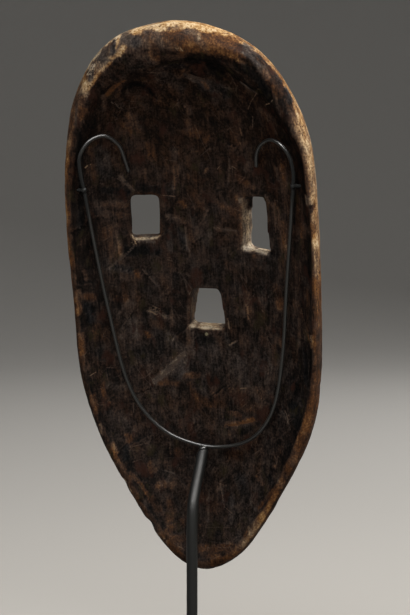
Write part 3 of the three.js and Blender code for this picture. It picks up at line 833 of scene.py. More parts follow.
# Marks whose places were read off the photo, in its 410 x 615 pixels. A smear is its half width,
# also in pixels, wear and hue, and a stroke its width in millimetres, wear and hue. Both end with the
# path's x and y in turn.
photoMarks = {
    "rimSmears": [
        (2.6, 0.22, -0.8, 113, 42, 115, 54), (5, 0.31, -0.4, 124, 38, 140, 41),
        (3, 0.25, -0.7, 134, 40, 137, 44), (3, 0.31, 0.1, 103, 50, 107, 58),
        (2.4, 0.38, -0.3, 104, 59, 112, 60), (2.6, 0.8, 0.9, 133, 32.5, 142, 30),
        (2.8, 0.82, 1, 124, 47, 121, 54), (1.8, 0.76, 0.9, 117, 41, 117.5, 47),
        (2.2, 0.66, 0.9, 113, 57.5, 118, 54), (2, 0.7, 0.8, 112, 62, 104, 69, 97, 78, 91, 87),
        (2.4, 0.22, -0.6, 92, 66, 92, 78), (2, 0.26, -0.2, 104, 53, 99, 60), (2, 0.5, 1, 85, 75, 85, 78),
        (3.8, 0.86, 1, 86, 83, 86, 88), (2, 0.58, 0.6, 86, 92, 86.5, 95),
        (2.5, 0.36, 0.9, 83, 96, 86, 110, 82, 118), (1.6, 0.3, 0, 77, 104, 76.5, 124),
        (5, 0.17, 0.6, 96, 90, 106, 77, 120, 66, 136, 60), (4, 0.32, 0.6, 141, 55, 156, 60),
        (3, 0.4, 0.7, 150, 52, 154, 58), (3, 0.26, 0.7, 160, 57, 180, 58), (6, 0.38, 0.35, 160, 40, 174, 46),
        (4, 0.42, 0.3, 145, 42, 150, 45), (4, 0.36, 0.2, 144, 34, 158, 36), (2, 0.4, 0.5, 168, 29, 176, 29),
        (2.6, 0.42, 0.5, 186, 31, 196, 33), (4.4, 0.42, 1, 188, 44, 212, 45), (5, 0.39, 1, 215, 38, 232, 45),
        (2.8, 0.5, 1, 222, 51, 236, 56), (1.8, 0.6, 0.85, 238, 60, 247, 63),
        (1.4, 0.66, 0.5, 199, 34, 199, 38), (2, 0.3, 0.5, 178, 48, 179, 52), (3, 0.3, -0.7, 242, 47, 253, 58),
        (3, 0.26, -0.6, 256, 62, 262, 68), (3.4, 0.36, 0.3, 261, 69, 268, 77),
        (2, 0.4, 0.2, 234, 68, 237, 72), (2, 0.3, 0.6, 243, 64, 252, 69), (2, 0.7, 0.4, 208, 28, 226, 33),
        # Painted shade: the smears of wear 0.02 at 193-220 px, 0.07 and 0.05 at 246-276 px, and 0.1 at
        # 282-288 px paint the shade in the pocket under the top rim and on the wall under the upper -x rim.
        (6, 0.02, 0.2, 193, 60, 220, 64), (3, 0.13, 0.5, 226, 62, 236, 70),
        (5, 0.07, -0.2, 246, 68, 262, 82, 276, 102), (2.6, 0.38, 0.8, 275, 86, 276, 96),
        (3, 0.33, 0.6, 277, 98, 281, 112), (2, 0.16, -0.7, 285, 88, 289, 102),
        (4.6, 0.05, -0.3, 262, 82, 268, 98), (2.4, 0.1, -0.2, 282, 100, 288, 116),
        (2.6, 0.5, 0.85, 78, 291, 80, 312), (3, 0.46, 0.75, 81, 334, 83, 352),
        (2.6, 0.33, 0.5, 84, 356, 87, 368), (3, 0.36, 0.9, 93, 395, 97, 412),
        (2, 0.4, 0.4, 101, 424, 103, 433), (2, 0.5, 0.85, 113, 443, 117, 452),
        (1.2, 0.62, 0.4, 115, 446, 117, 450), (2.2, 0.36, 0.8, 117, 456, 126, 470, 132, 478),
        (1.6, 0.42, 0.8, 130, 472, 143, 489, 151, 501), (2.6, 0.34, 0.6, 160, 511, 169, 528),
        (2.4, 0.46, 0.8, 167, 530, 173, 537), (1, 0.66, 0.2, 165, 537, 168, 541),
        (2.4, 0.22, -0.1, 145, 500, 150, 507), (2.2, 0.6, 0.7, 312, 336, 312, 346),
        (1.6, 0.24, 0.4, 317.5, 336, 318.5, 350), (2.4, 0.28, 1, 307, 290, 307, 330),
        (1.6, 0.4, 1, 307, 336, 309, 342), (2, 0.2, 0, 307, 352, 308, 380),
        (3.2, 0.38, 0.95, 305, 424, 300, 438, 294, 454), (2.4, 0.32, 1, 310, 404, 307, 418),
        (1.2, 0.68, 0.6, 298.5, 435, 298.5, 441), (3.4, 0.29, 0.85, 289, 462, 285, 472),
        (2.6, 0.48, 1, 281, 481, 274, 490), (2.6, 0.45, 0.8, 279, 490, 270, 503, 262, 514),
        (1.6, 0.42, 1, 276, 486, 266, 499, 258, 509), (3, 0.46, 0.8, 262, 514, 254, 525, 246, 535),
        (3.6, 0.48, 0.6, 251, 530, 245, 540, 239, 546), (1.6, 0.62, 0.4, 249, 528, 252, 534),
        (2, 0.18, 0.5, 311, 207, 311.5, 213), (3.4, 0.76, 0.7, 316, 236, 317, 248),
        (2.2, 0.6, 0.5, 313, 214, 314, 232), (1.8, 0.5, 0.1, 306, 196, 307, 205),
        (1.6, 0.78, 0.4, 307, 150, 306, 130)],
    "hollowSmears": [
        # Painted light at the top of the hollow: the smears of wear 0.02, 0.05 and 0.08 at 160-220 px by
        # 60-72 px paint the shade in the pocket under the top rim, the one of wear 0.36 at 185-203 px a
        # highlight on the ridge below it, the dark and pale lines at 232-257 px the shade and lit lip of a
        # groove, and the pale and near-black arcs at 108-153 px the lit and shaded sides of a gouge.
        (9, 0.02, 0, 192, 60, 214, 66), (6, 0.05, 0.2, 196, 72, 220, 72),
        (2, 0.36, 0, 185, 75, 193, 81, 203, 80), (4, 0.08, 0.1, 160, 68, 182, 66),
        (5, 0.15, 0.6, 222, 62, 232, 70), (1.6, 0.04, 0.3, 232, 76, 253, 90),
        (1.4, 0.34, 0.1, 241, 82, 257, 93), (6, 0.27, 0.5, 262, 113, 272, 122),
        (2.6, 0.4, 1, 108, 94, 114, 87, 122, 81), (2.6, 0.02, 0, 126, 88, 136, 83, 146, 87, 153, 94),
        (2, 0.34, 0.9, 117, 96, 121, 86), (1.6, 0.4, 0.6, 127, 90, 128, 96),
        (2, 0.34, 0.5, 104, 96, 104, 110), (4, 0.36, 0.8, 130, 116, 143, 136),
        (7, 0.28, 0.8, 122, 128, 140, 146), (5, 0.34, 1, 150, 146, 152, 156),
        (8, 0.21, 0.2, 160, 76, 180, 84), (4, 0.33, 0.6, 188, 106, 189, 113),
        (4, 0.43, 0.7, 188, 121, 190, 127), (4, 0.36, 0.8, 186, 132, 200, 135),
        (6, 0.3, 0.8, 196, 128, 205, 138), (5, 0.33, 0.85, 225, 112, 238, 120),
        (8, 0.2, -0.5, 205, 84, 225, 92), (3, 0.33, 0.8, 203, 80, 207, 88), (4, 0.28, 0.5, 220, 96, 214, 102),
        (4, 0.3, 0.1, 174, 150, 174, 160), (1.4, 0.44, 0.5, 174, 162, 174, 190),
        (1.3, 0.36, 0.4, 179, 164, 178, 176), (5, 0.17, 1, 258, 130, 271, 136),
        (3, 0.34, 0.6, 247, 163, 247, 170), (1.2, 0.36, 0.2, 229, 160, 228, 184),
        (3, 0.3, 0.8, 90, 148, 94, 158), (4, 0.29, 0.7, 92, 168, 96, 178), (6, 0.2, -0.3, 100, 150, 106, 176),
        (3.4, 0.12, -0.3, 104, 190, 126, 193), (4, 0.1, 0, 138, 187, 166, 190),
        # Painted shadow: the first smear here, of wear 0.06 along 78-80 px, is the shade beside the left arm
        # of the wire.
        (2.6, 0.06, -0.2, 78, 112, 80, 160, 80, 232), (4, 0.35, 0.55, 97, 204, 125, 204),
        (3.4, 0.33, 0.6, 104, 213, 124, 216), (2, 0.4, 0.2, 119, 176, 133, 191),
        (5.4, 0.35, 0.5, 115, 228, 119, 262), (1.5, 0.48, 0.5, 117, 232, 120.5, 256),
        (2, 0.35, 0.6, 105, 228, 104, 250), (2, 0.36, 0.5, 110, 236, 110, 262),
        (1.5, 0.42, 0, 128, 248, 119, 259, 110, 268), (5, 0.08, -0.6, 130, 251, 158, 251),
        (4, 0.21, -0.7, 115, 267, 130, 270), (2.8, 0.38, 1, 136, 272, 138, 277),
        (1.7, 0.38, -0.2, 146, 271, 158, 286), (4, 0.27, 1, 112, 291, 116, 299),
        (2, 0.42, 0.5, 84, 271, 86, 279), (4, 0.36, 0.95, 84, 297, 93, 297), (3, 0.24, 1, 124, 284, 126, 300),
        (2.4, 0.4, 0.45, 167, 216, 177, 217), (2.6, 0.36, 0.4, 175, 219, 186, 222),
        (2.8, 0.42, 1, 181, 203, 185, 206), (4, 0.3, -0.5, 181, 230, 185, 247),
        (1, 0.42, -0.2, 185, 228, 188.5, 252), (3.4, 0.28, -0.3, 168, 232, 171, 250),
        (2.6, 0.44, 0.85, 217, 202, 222, 207), (4.4, 0.36, 0.75, 225, 206, 236, 212),
        (3, 0.46, 0.9, 237, 198, 239, 206), (3.2, 0.42, 0.85, 241, 180, 253, 188),
        (2, 0.35, 0.2, 216, 228, 236, 231), (1.6, 0.5, 0.9, 205, 172, 207, 169),
        (2.4, 0.36, 0.2, 209, 229, 211, 237), (4, 0.3, 0.4, 198, 262, 206, 262),
        (4, 0.34, 0.6, 283, 168, 284, 190), (2, 0.36, 0.4, 276, 168, 279, 182),
        (1.5, 0.43, 0.5, 274, 204, 276, 226), (1.8, 0.4, 0.65, 278, 208, 280, 224),
        (5, 0.37, 0.85, 283, 226, 284, 246), (1.1, 0.47, 0.3, 286, 246, 287.5, 257),
        (1.1, 0.4, 0.3, 265, 196, 273, 207), (2.6, 0.07, 0, 273, 181, 274, 191),
        # Painted shadow: the second smear here, of wear 0.03 at 294 px, is the shade beside the right arm of
        # the wire.
        (2, 0.28, 1, 298, 194, 298, 224), (1.6, 0.03, 0, 294, 190, 294, 224),
        (4, 0.3, 0.8, 302, 226, 304, 258), (5, 0.3, 0.7, 281, 262, 284, 275),
        (2.4, 0.4, 0.7, 254, 256, 258, 257, 264, 258), (2.4, 0.38, 0.5, 189.5, 299, 190, 320),
        (6, 0.19, -0.1, 180, 276, 198, 283), (6, 0.35, 0.65, 245, 296, 252, 319),
        (1.6, 0.5, 0.6, 247, 304, 248, 313), (4, 0.46, 0.95, 279, 302, 279, 308),
        (4, 0.36, 0.8, 277, 288, 280, 300), (4, 0.29, 0.5, 262, 294, 263, 316),
        (5, 0.37, 0.35, 190, 330, 190, 352), (1.2, 0.46, 0.2, 184, 346, 184, 354),
        (6, 0.3, -0.35, 170, 337, 182, 348), (6, 0.1, -0.4, 200, 340, 214, 345),
        (2.2, 0.34, -0.1, 226, 334, 228, 346, 229, 374), (1.2, 0.38, -0.2, 202, 348, 208, 353),
        (3, 0.3, 0.6, 217, 338, 221, 350), (4, 0.32, 0.1, 130, 304, 127, 320, 123, 336),
        (1.4, 0.4, 0.2, 128, 300, 120, 313), (5, 0.28, -0.3, 133, 320, 134, 335),
        (2.4, 0.42, 0.1, 150, 311, 168, 318), (5, 0.28, 1, 152, 322, 160, 325),
        (2.6, 0.38, 1, 146, 333, 149, 336), (1.8, 0.37, 0.3, 172, 312, 172, 326),
        (4, 0.09, -0.9, 88, 306, 91, 320), (5, 0.26, 0.95, 97, 328, 100, 337),
        (4, 0.32, -0.1, 109, 385, 123, 388), (2, 0.35, 0.9, 103, 384, 104, 397),
        (5, 0.14, 0, 108, 372, 122, 380), (6, 0.15, 0.1, 138, 352, 150, 358),
        (1.6, 0.42, 0, 140, 362, 142, 366), (4, 0.14, -0.1, 100, 352, 104, 358),
        (3.8, 0.43, -0.35, 184, 355, 172, 366, 156, 381), (6.5, 0.35, -0.45, 186, 362, 178, 373),
        (1, 0.6, 0, 231, 345, 237, 341), (3, 0.36, 0.8, 160, 383, 178, 383),
        (3.6, 0.42, 1, 186, 376, 197, 375), (4, 0.38, 1, 190, 384, 196, 396),
        (3.4, 0.31, -0.1, 204, 362, 204, 392), (12, 0.26, -0.1, 210, 355, 260, 375),
        (6, 0.32, 0.55, 215, 392, 262, 394), (7, 0.31, 0.6, 238, 404, 262, 408),
        (5, 0.3, 1, 200, 402, 222, 404), (3, 0.37, 0.85, 230, 413, 240, 416),
        (2.4, 0.44, 0.95, 226, 424, 240, 423, 253, 419), (1.6, 0.38, 0.9, 229, 430, 230, 438),
        (4, 0.12, 0, 242, 432, 250, 428), (6, 0.1, 0, 292, 382, 300, 396),
        (3, 0.08, -0.9, 305, 350, 306, 382), (4, 0.23, 0.9, 293, 340, 295, 360),
        (6, 0.06, -0.9, 294, 408, 298, 423), (1.3, 0.42, -0.3, 282, 412, 287, 418, 290, 429),
        (4, 0.34, 0.5, 272, 336, 282, 345), (3, 0.3, 0.7, 274, 346, 275, 366),
        (1.8, 0.33, -0.2, 265, 354, 272, 368), (1.8, 0.34, 0.5, 299, 320, 299, 345),
        (4, 0.41, 0.9, 150, 464, 153, 470), (3.4, 0.34, 0.85, 177, 450, 180, 454),
        (4.6, 0.39, 0.7, 160, 484, 170, 485), (5, 0.37, 0.9, 170, 503, 171, 516),
        (2.6, 0.39, 1, 127, 435, 130, 441), (3, 0.1, -0.9, 126, 447, 126, 458),
        (4, 0.26, 1, 152, 499, 159, 508), (5, 0.32, 0.9, 172, 528, 180, 524),
        (4, 0.3, 0.8, 173, 540, 184, 538), (1.3, 0.44, -0.1, 221, 484, 224, 506),
        (2.6, 0.31, -0.1, 232, 495, 231, 522), (1.2, 0.37, 0.1, 208, 494, 208.5, 521),
        (2, 0.33, -0.2, 250, 504, 256, 510), (3, 0.38, 0.7, 257, 477, 262, 483),
        (1.6, 0.5, 0.6, 273, 465, 275, 467), (5, 0.22, 0.3, 212, 480, 215, 488),
        (7, 0.17, -0.4, 240, 480, 246, 500), (3, 0.1, -0.5, 270, 478, 272, 484),
        (5, 0.2, 1, 228, 452, 240, 456), (4.6, 0.4, 0.85, 198, 548, 234, 548),
        (3, 0.42, 0.8, 204, 556, 218, 556)],
    "strokes": [
        # Painted light among the strokes: the near-black one at 227-253 px is the shade in a groove, the pale
        # and near-black arcs at 107-156 px the lit and shaded sides of a gouge, and the one of wear 0.36 at
        # 190-203 px a highlight on the ridge under the top pocket.
        (1.4, 0.46, 0.1, 112.2, 102.4, 121.6, 109.1), (0.5, 0.5, 0.3, 148, 72.5, 159.5, 73),
        (2.6, 0.46, 1, 107.3, 94.8, 113.6, 86.8, 122.5, 80.5), (2.2, 0.02, 0.4, 227.5, 71.6, 252.5, 88.6),
        (2.2, 0.04, 0.4, 127.9, 84.1, 136.8, 82.3, 145.7, 86.8, 155.5, 97.5),
        (0.8, 0.48, 0.4, 258.8, 89.5, 250.7, 102, 248, 109), (0.9, 0.5, 0.3, 252.5, 117, 252.5, 127),
        (1.2, 0.5, 0.6, 240, 128.8, 241.8, 135), (2.6, 0.36, 0.1, 190, 76, 203, 80),
        (1, 0.7, 0.35, 85.5, 167.5, 87.7, 165.5, 90, 164.5), (1.2, 0.46, 0.2, 119.8, 175.9, 134.1, 190.2),
        (0.7, 0.42, 0.2, 117.5, 178.5, 130, 188.5), (1, 0.48, 0.7, 173.4, 166, 174.7, 188.4),
        (0.8, 0.46, 0.7, 178.4, 166, 177.9, 176), (0.8, 0.52, 0.3, 160.9, 195.1, 175.2, 196.4),
        (1.6, 0.42, 0.1, 110, 267, 120, 260, 134, 246.4), (1, 0.85, 0.3, 134.6, 239.3, 135.9, 243.8),
        (0.8, 0.46, 0.3, 167, 220, 169, 217.5, 175.2, 217), (0.9, 0.42, 0.3, 185, 226.8, 188.6, 248.2),
        (1.2, 0.42, 0.2, 143, 269.6, 149, 276, 155.5, 283.9), (0.6, 0.44, 0.3, 229.3, 159, 228.8, 184),
        (0.7, 0.56, 0.4, 217.5, 169, 220, 166), (0.8, 0.6, 0.3, 232, 166, 236, 168.5),
        (0.9, 0.4, 0.2, 222, 229, 236, 230.5),
        (2.4, 0.42, 0.1, 190, 347, 184, 354.3, 171.6, 367.7, 156.4, 381),
        (1.2, 0.38, 0.2, 135.9, 303.4, 124.3, 324, 124, 345), (1.1, 0.6, 0.3, 146, 310, 152, 312, 158, 316),
        (1, 0.62, 0.3, 153, 306, 160, 309.5), (1, 0.5, 0.3, 159, 313, 166, 318),
        (1.3, 0.62, 0.25, 227.5, 319.5, 229.3, 328.4), (1.2, 0.58, 0.25, 229.5, 345, 236, 341),
        (0.9, 0.6, 0.3, 91, 375, 95, 372.5), (0.7, 0.45, 0.2, 107, 367.5, 113, 368),
        (1, 0.42, 0.2, 133.2, 402, 133.5, 412), (2, 0.46, 0.95, 225.7, 426, 240, 424, 254.3, 420.4),
        (1, 0.58, 0.3, 240, 388.5, 246, 388), (1.1, 0.5, 0.2, 285, 411, 288, 419),
        (1.2, 0.42, 0, 162, 469.5, 174.2, 473.5), (0.6, 0.46, 0.3, 131, 447, 147, 443),
        (0.6, 0.46, 0.3, 133, 462, 144, 458), (0.9, 0.5, 0.3, 220, 484, 223.3, 500),
        (0.9, 0.4, 0.1, 209, 490, 209, 521), (0.8, 0.48, 0.3, 224.7, 507, 231.7, 512.8),
        (0.7, 0.38, 0.3, 205, 527, 232, 527.5), (1.2, 0.4, 0.5, 274, 204, 276, 232),
        (1.4, 0.42, 0.5, 279, 210, 282, 252), (1, 0.46, 0.5, 284, 246, 285.5, 258)],
}


def paintPoints(mesh, name, values):
    layer = mesh.attributes.new(name, "FLOAT_COLOR", "POINT")
    layer.data.foreach_set("color", np.stack(values, -1).astype(np.float32).ravel())


# Where the camera's rays through a path's pixels meet the mask, as x and z in turn. Each ray is cut by a
# plane across the mask, which moves half way to the depth of the surface found there, over and over.
def pathOnMask(path, depthAt):
    pixels = np.reshape(path, (-1, 2)) - photo["middle"]
    away = wayToCamera()
    right = np.cross((0, 0, 1), away)
    right /= np.linalg.norm(right)
    up = np.cross(away, right)
    camera = np.array(photo["target"]) + away * photo["distance"]
    rays = pixels[:, :1] * right - pixels[:, 1:] * up - away * photo["focalPixels"]
    start, rays = toMask(camera), toMask(camera + rays) - toMask(camera)
    depth = np.full(len(rays), photo["firstDepth"])
    for _ in range(photo["rounds"]):
        x, _, z = (start + rays * ((depth - start[1]) / rays[:, 1])[:, None]).T
        depth = (depth + depthAt(x, z)) / 2
    return np.stack([x, z], -1).ravel()


# How far each place is from a path given as x and z in turn: the nearest of its straight stretches.
def awayFromPath(x, z, path):
    corners = np.reshape(path, (-1, 2))
    away = np.full(len(x), np.inf)
    for (startX, startZ), (endX, endZ) in zip(corners[:-1], corners[1:]):
        alongX, alongZ = endX - startX, endZ - startZ
        way = ((x - startX) * alongX + (z - startZ) * alongZ) / (alongX ** 2 + alongZ ** 2)
        way = np.clip(way, 0, 1)
        away = np.minimum(away, np.hypot(x - startX - alongX * way, z - startZ - alongZ * way))
    return away


# Works out each point's wear and hue from where it is, painted light and shade included, and keeps them as
# attributes for the wood's finish.
def paintWear(mesh):
    points, normals, edges = readMesh(mesh, turnToMask=True)
    x, y, z = points.T
    sides = findSides(points)
    inset, nearRim = sides["inset"], sides["share"]
    turned = sides["face"] * (1 - ease(-normals[:, 1], *wearing["forwards"]))
    inside = ease(inset, *wearing["openingStarts"])
    sides["face"] -= turned
    sides["edge"] += turned * (1 - inside)
    sides["opening"] += turned * inside

    def stir(name):
        height, size, seed = wearing["noises"][name]
        return height * layeredNoise(points, size, seed)

    band, outer, middle, ridge, slope, wall, edge, hue = aroundRim(wearing["rimStations"], nearRim)
    past = inset - sides["ridge"] + stir("ridge")
    rimWear = middle + (ridge - middle) * ease(past, *wearing["ridgeStarts"])
    rimWear += (slope - rimWear) * ease(past, *wearing["slopeStarts"])
    most, shareOfBand = wearing["outerSwing"]
    ragged = inset + np.minimum(most, band * shareOfBand) * stir("outer")
    full, none = wearing["outerEnds"]
    rimWear += (outer - rimWear) * (1 - ease(ragged, band * full, band * none))
    # Near the rim the hollow takes the stations' wall wear, which under the top of the rim is painted shade.
    deep = ease(-y, *wearing["wallDepths"])
    hollowWear = wall + (wearing["hollowWear"] - wall) * deep + stir("hollow")
    low = 1 - ease(z, *wearing["hueHeights"])
    highHue, lowHue = wearing["hollowHues"]
    hollowHue = highHue + (lowHue - highHue) * low + stir("hue")
    lowHollow = sides["hollow"] * (1 - ease(z, *wearing["swingHeights"]))
    hollowSwing, rimSwing = wearing["swings"]
    swing = 1 + hollowSwing * lowHollow + rimSwing * sides["rim"]
    mouth, above = z < wearing["mouthBelow"], z > wearing["eyesAbove"]
    leftEye, rightEye = above & (x > wearing["eyesBeyond"]), above & (x < -wearing["eyesBeyond"])
    sill, jamb = ease(normals[:, 2], *wearing["upwards"]), np.abs(normals[:, 0])
    leftSill, otherSill = wearing["sillPaintedLight"]
    rightJamb, mouthJamb, leftJamb = wearing["jambPaintedLight"]
    # Painted light on the openings' walls: those facing up and those facing sideways are made paler than the
    # bare wood of the cut, as if lit.
    cutWear = wearing["cutWear"] + np.where(leftEye, leftSill, otherSill) * sill
    cutWear += np.where(rightEye, rightJamb, np.where(mouth, mouthJamb, leftJamb)) * jamb

    parts = ((rimWear, hue, sides["rim"]), (hollowWear, hollowHue, sides["hollow"]),
             (edge, hue, sides["edge"]), (cutWear, wearing["openingHue"], sides["opening"]),
             (wearing["faceWear"], wearing["faceHue"], sides["face"]))
    total = np.maximum(sum(side for _, _, side in parts), wearing["leastSide"])
    wear = sum(partWear * side for partWear, _, side in parts) / total
    hues = sum(partHue * side for _, partHue, side in parts) / total
    backwards = sides["rim"] + sides["hollow"]

    def smearsOn(name, depthAt):
        return [(round(half / photo["pixelsPerMm"], 1), smearWear, smearHue, *pathOnMask(path, depthAt))
                for half, smearWear, smearHue, *path in photoMarks[name]]

    openings = np.clip(sides["hollow"] + sides["opening"], 0, 1)
    layers = ((smearsOn("rimSmears", rimAt), backwards),
              (smearsOn("hollowSmears", hollowAt), sides["hollow"]),
              (wearing["lipSmears"], sides["hollow"]), (wearing["cutSmears"], openings))
    for marks, place in layers:
        for number, (half, smearWear, smearHue, *path) in enumerate(marks):
            ragged = wearing["smearSwing"] * softNoise(points, 2 + half, wearing["smearSeed"] + number)
            away = awayFromPath(x, z, path) / half + ragged
            share = (1 - ease(away, *wearing["smearEnds"])) * place * wearing["smearShare"]
            wear += (smearWear - wear) * share
            hues += (smearHue - hues) * share
    bulge = np.einsum("ij,ij->i", points - neighbourMean(points, edges), normals)
    paintPoints(mesh, "wearing", [wear, hues, bulge, swing])
    strokes = [(*mark[:3], *pathOnMask(mark[3:], hollowAt)) for mark in photoMarks["strokes"]]
    strokes = nearestStroke(x, z, strokes + wearing["placedStrokes"])
    strokes[0] += wearing["offBack"] * (1 - np.clip(backwards, 0, 1)) ** 2
    paintPoints(mesh, "marks", strokes)
    paintPoints(mesh, "sides", [sides["face"], sides["hollow"]] * 2)


woodColours = {
    "warm": [
        (0.0, (0.0012, 0.0008, 0.0006)), (0.16, (0.0110, 0.0058, 0.0038)), (0.3, (0.042, 0.0205, 0.0118)),
        (0.42, (0.085, 0.036, 0.0150)), (0.55, (0.17, 0.078, 0.029)), (0.7, (0.33, 0.18, 0.068)),
        (0.85, (0.52, 0.335, 0.16)), (1.0, (0.70, 0.54, 0.34))],
    "grey": [
        (0.0, (0.0012, 0.0010, 0.0009)), (0.16, (0.0110, 0.0082, 0.0072)), (0.3, (0.040, 0.029, 0.0245)),
        (0.42, (0.078, 0.058, 0.047)), (0.55, (0.15, 0.115, 0.086)), (0.7, (0.29, 0.22, 0.155)),
        (0.85, (0.52, 0.40, 0.265)), (1.0, (0.72, 0.61, 0.45))],
    # The third row is a painted sheen: the grey of light reflected off glossy patina, laid into the colour.
    "greySheen": [
        (0.0, (0.0010, 0.0010, 0.0012)), (0.16, (0.0080, 0.0076, 0.0082)), (0.3, (0.030, 0.0265, 0.0270)),
        (0.42, (0.060, 0.053, 0.053)), (0.55, (0.12, 0.108, 0.104)), (0.7, (0.26, 0.23, 0.21)),
        (0.85, (0.5, 0.45, 0.4)), (1.0, (0.74, 0.68, 0.6))],
    "redPatina": (0.036, 0.0135, 0.0085), "olivePatina": (0.030, 0.0225, 0.010), "kaolin": (0.6, 0.54, 0.43),
    "ochre": (0.44, 0.165, 0.105), "umber": (0.26, 0.17, 0.1), "soot": (0.010, 0.0075, 0.0065),
    "dust": (0.3, 0.27, 0.17),
}
# The wood's noises: how far they are drawn out along x, y and z, their turn about y, then their grain in
# millimetres, detail and roughness.
woodGrain = {
    "broad": ((1, 1, 1.5), 0, 20, 4, 0.6), "mottle": ((1, 1, 1.3), 0, 6, 5, 0.66),
    "fibre": ((1, 1, 8), 0, 1.15, 4, 0.62), "streak": ((1, 1, 9), 0, 3.2, 3, 0.6),
    "pepper": ((1, 1, 1), 0, 1.5, 3, 0.6), "film": ((1, 1, 1.8), 0.5, 11, 3, 0.6),
    "stain": ((1, 1, 1.6), 0, 11, 4, 0.6),
}
# Three families of hairline scratches: turn about y, grain, breadth and where their noise is read.
hairlines = [(0.5, 14, 0.006, 3), (-0.85, 17, 0.006, 40), (1.35, 19, 0.005, 77)]


woodLook = {
    "brightWear": (0.3, 0.7), "specular": 0.03, "bulgeEnds": (-0.14, 0.08),
    # How strongly each noise and mark changes the wear, with what counts only where the wood is bright.
    "stir": {"broad": 0.3, "mottle": 0.56, "brightMottle": 0.5, "fibre": 0.34, "streak": 0.2,
             "pepper": 0.42, "brightPepper": 0.3, "bulge": 1.2, "hollowBulge": 0.4, "pits": 0.3,
             "lines": 0.13, "stroke": 0.85},
    # How high each one stands in the bump, in millimetres.
    "rise": {"mottle": 0.55, "fibre": 0.3, "brightFibre": 0.25, "streak": 0.4, "pepper": 0.16, "lines": 0.08,
             "stroke": 0.22, "clay": 0.12},
    # How rough each one leaves the surface, and the limits.
    "blur": {"plain": 0.62, "mottle": 0.35, "pepper": 0.25, "bright": 0.14, "lines": 0.1},
    "blurEnds": (0.3, 0.95),
    "redPatina": 0.75, "olivePatina": 0.6, "clay": 0.9, "soot": 0.6, "dust": 0.7,
}


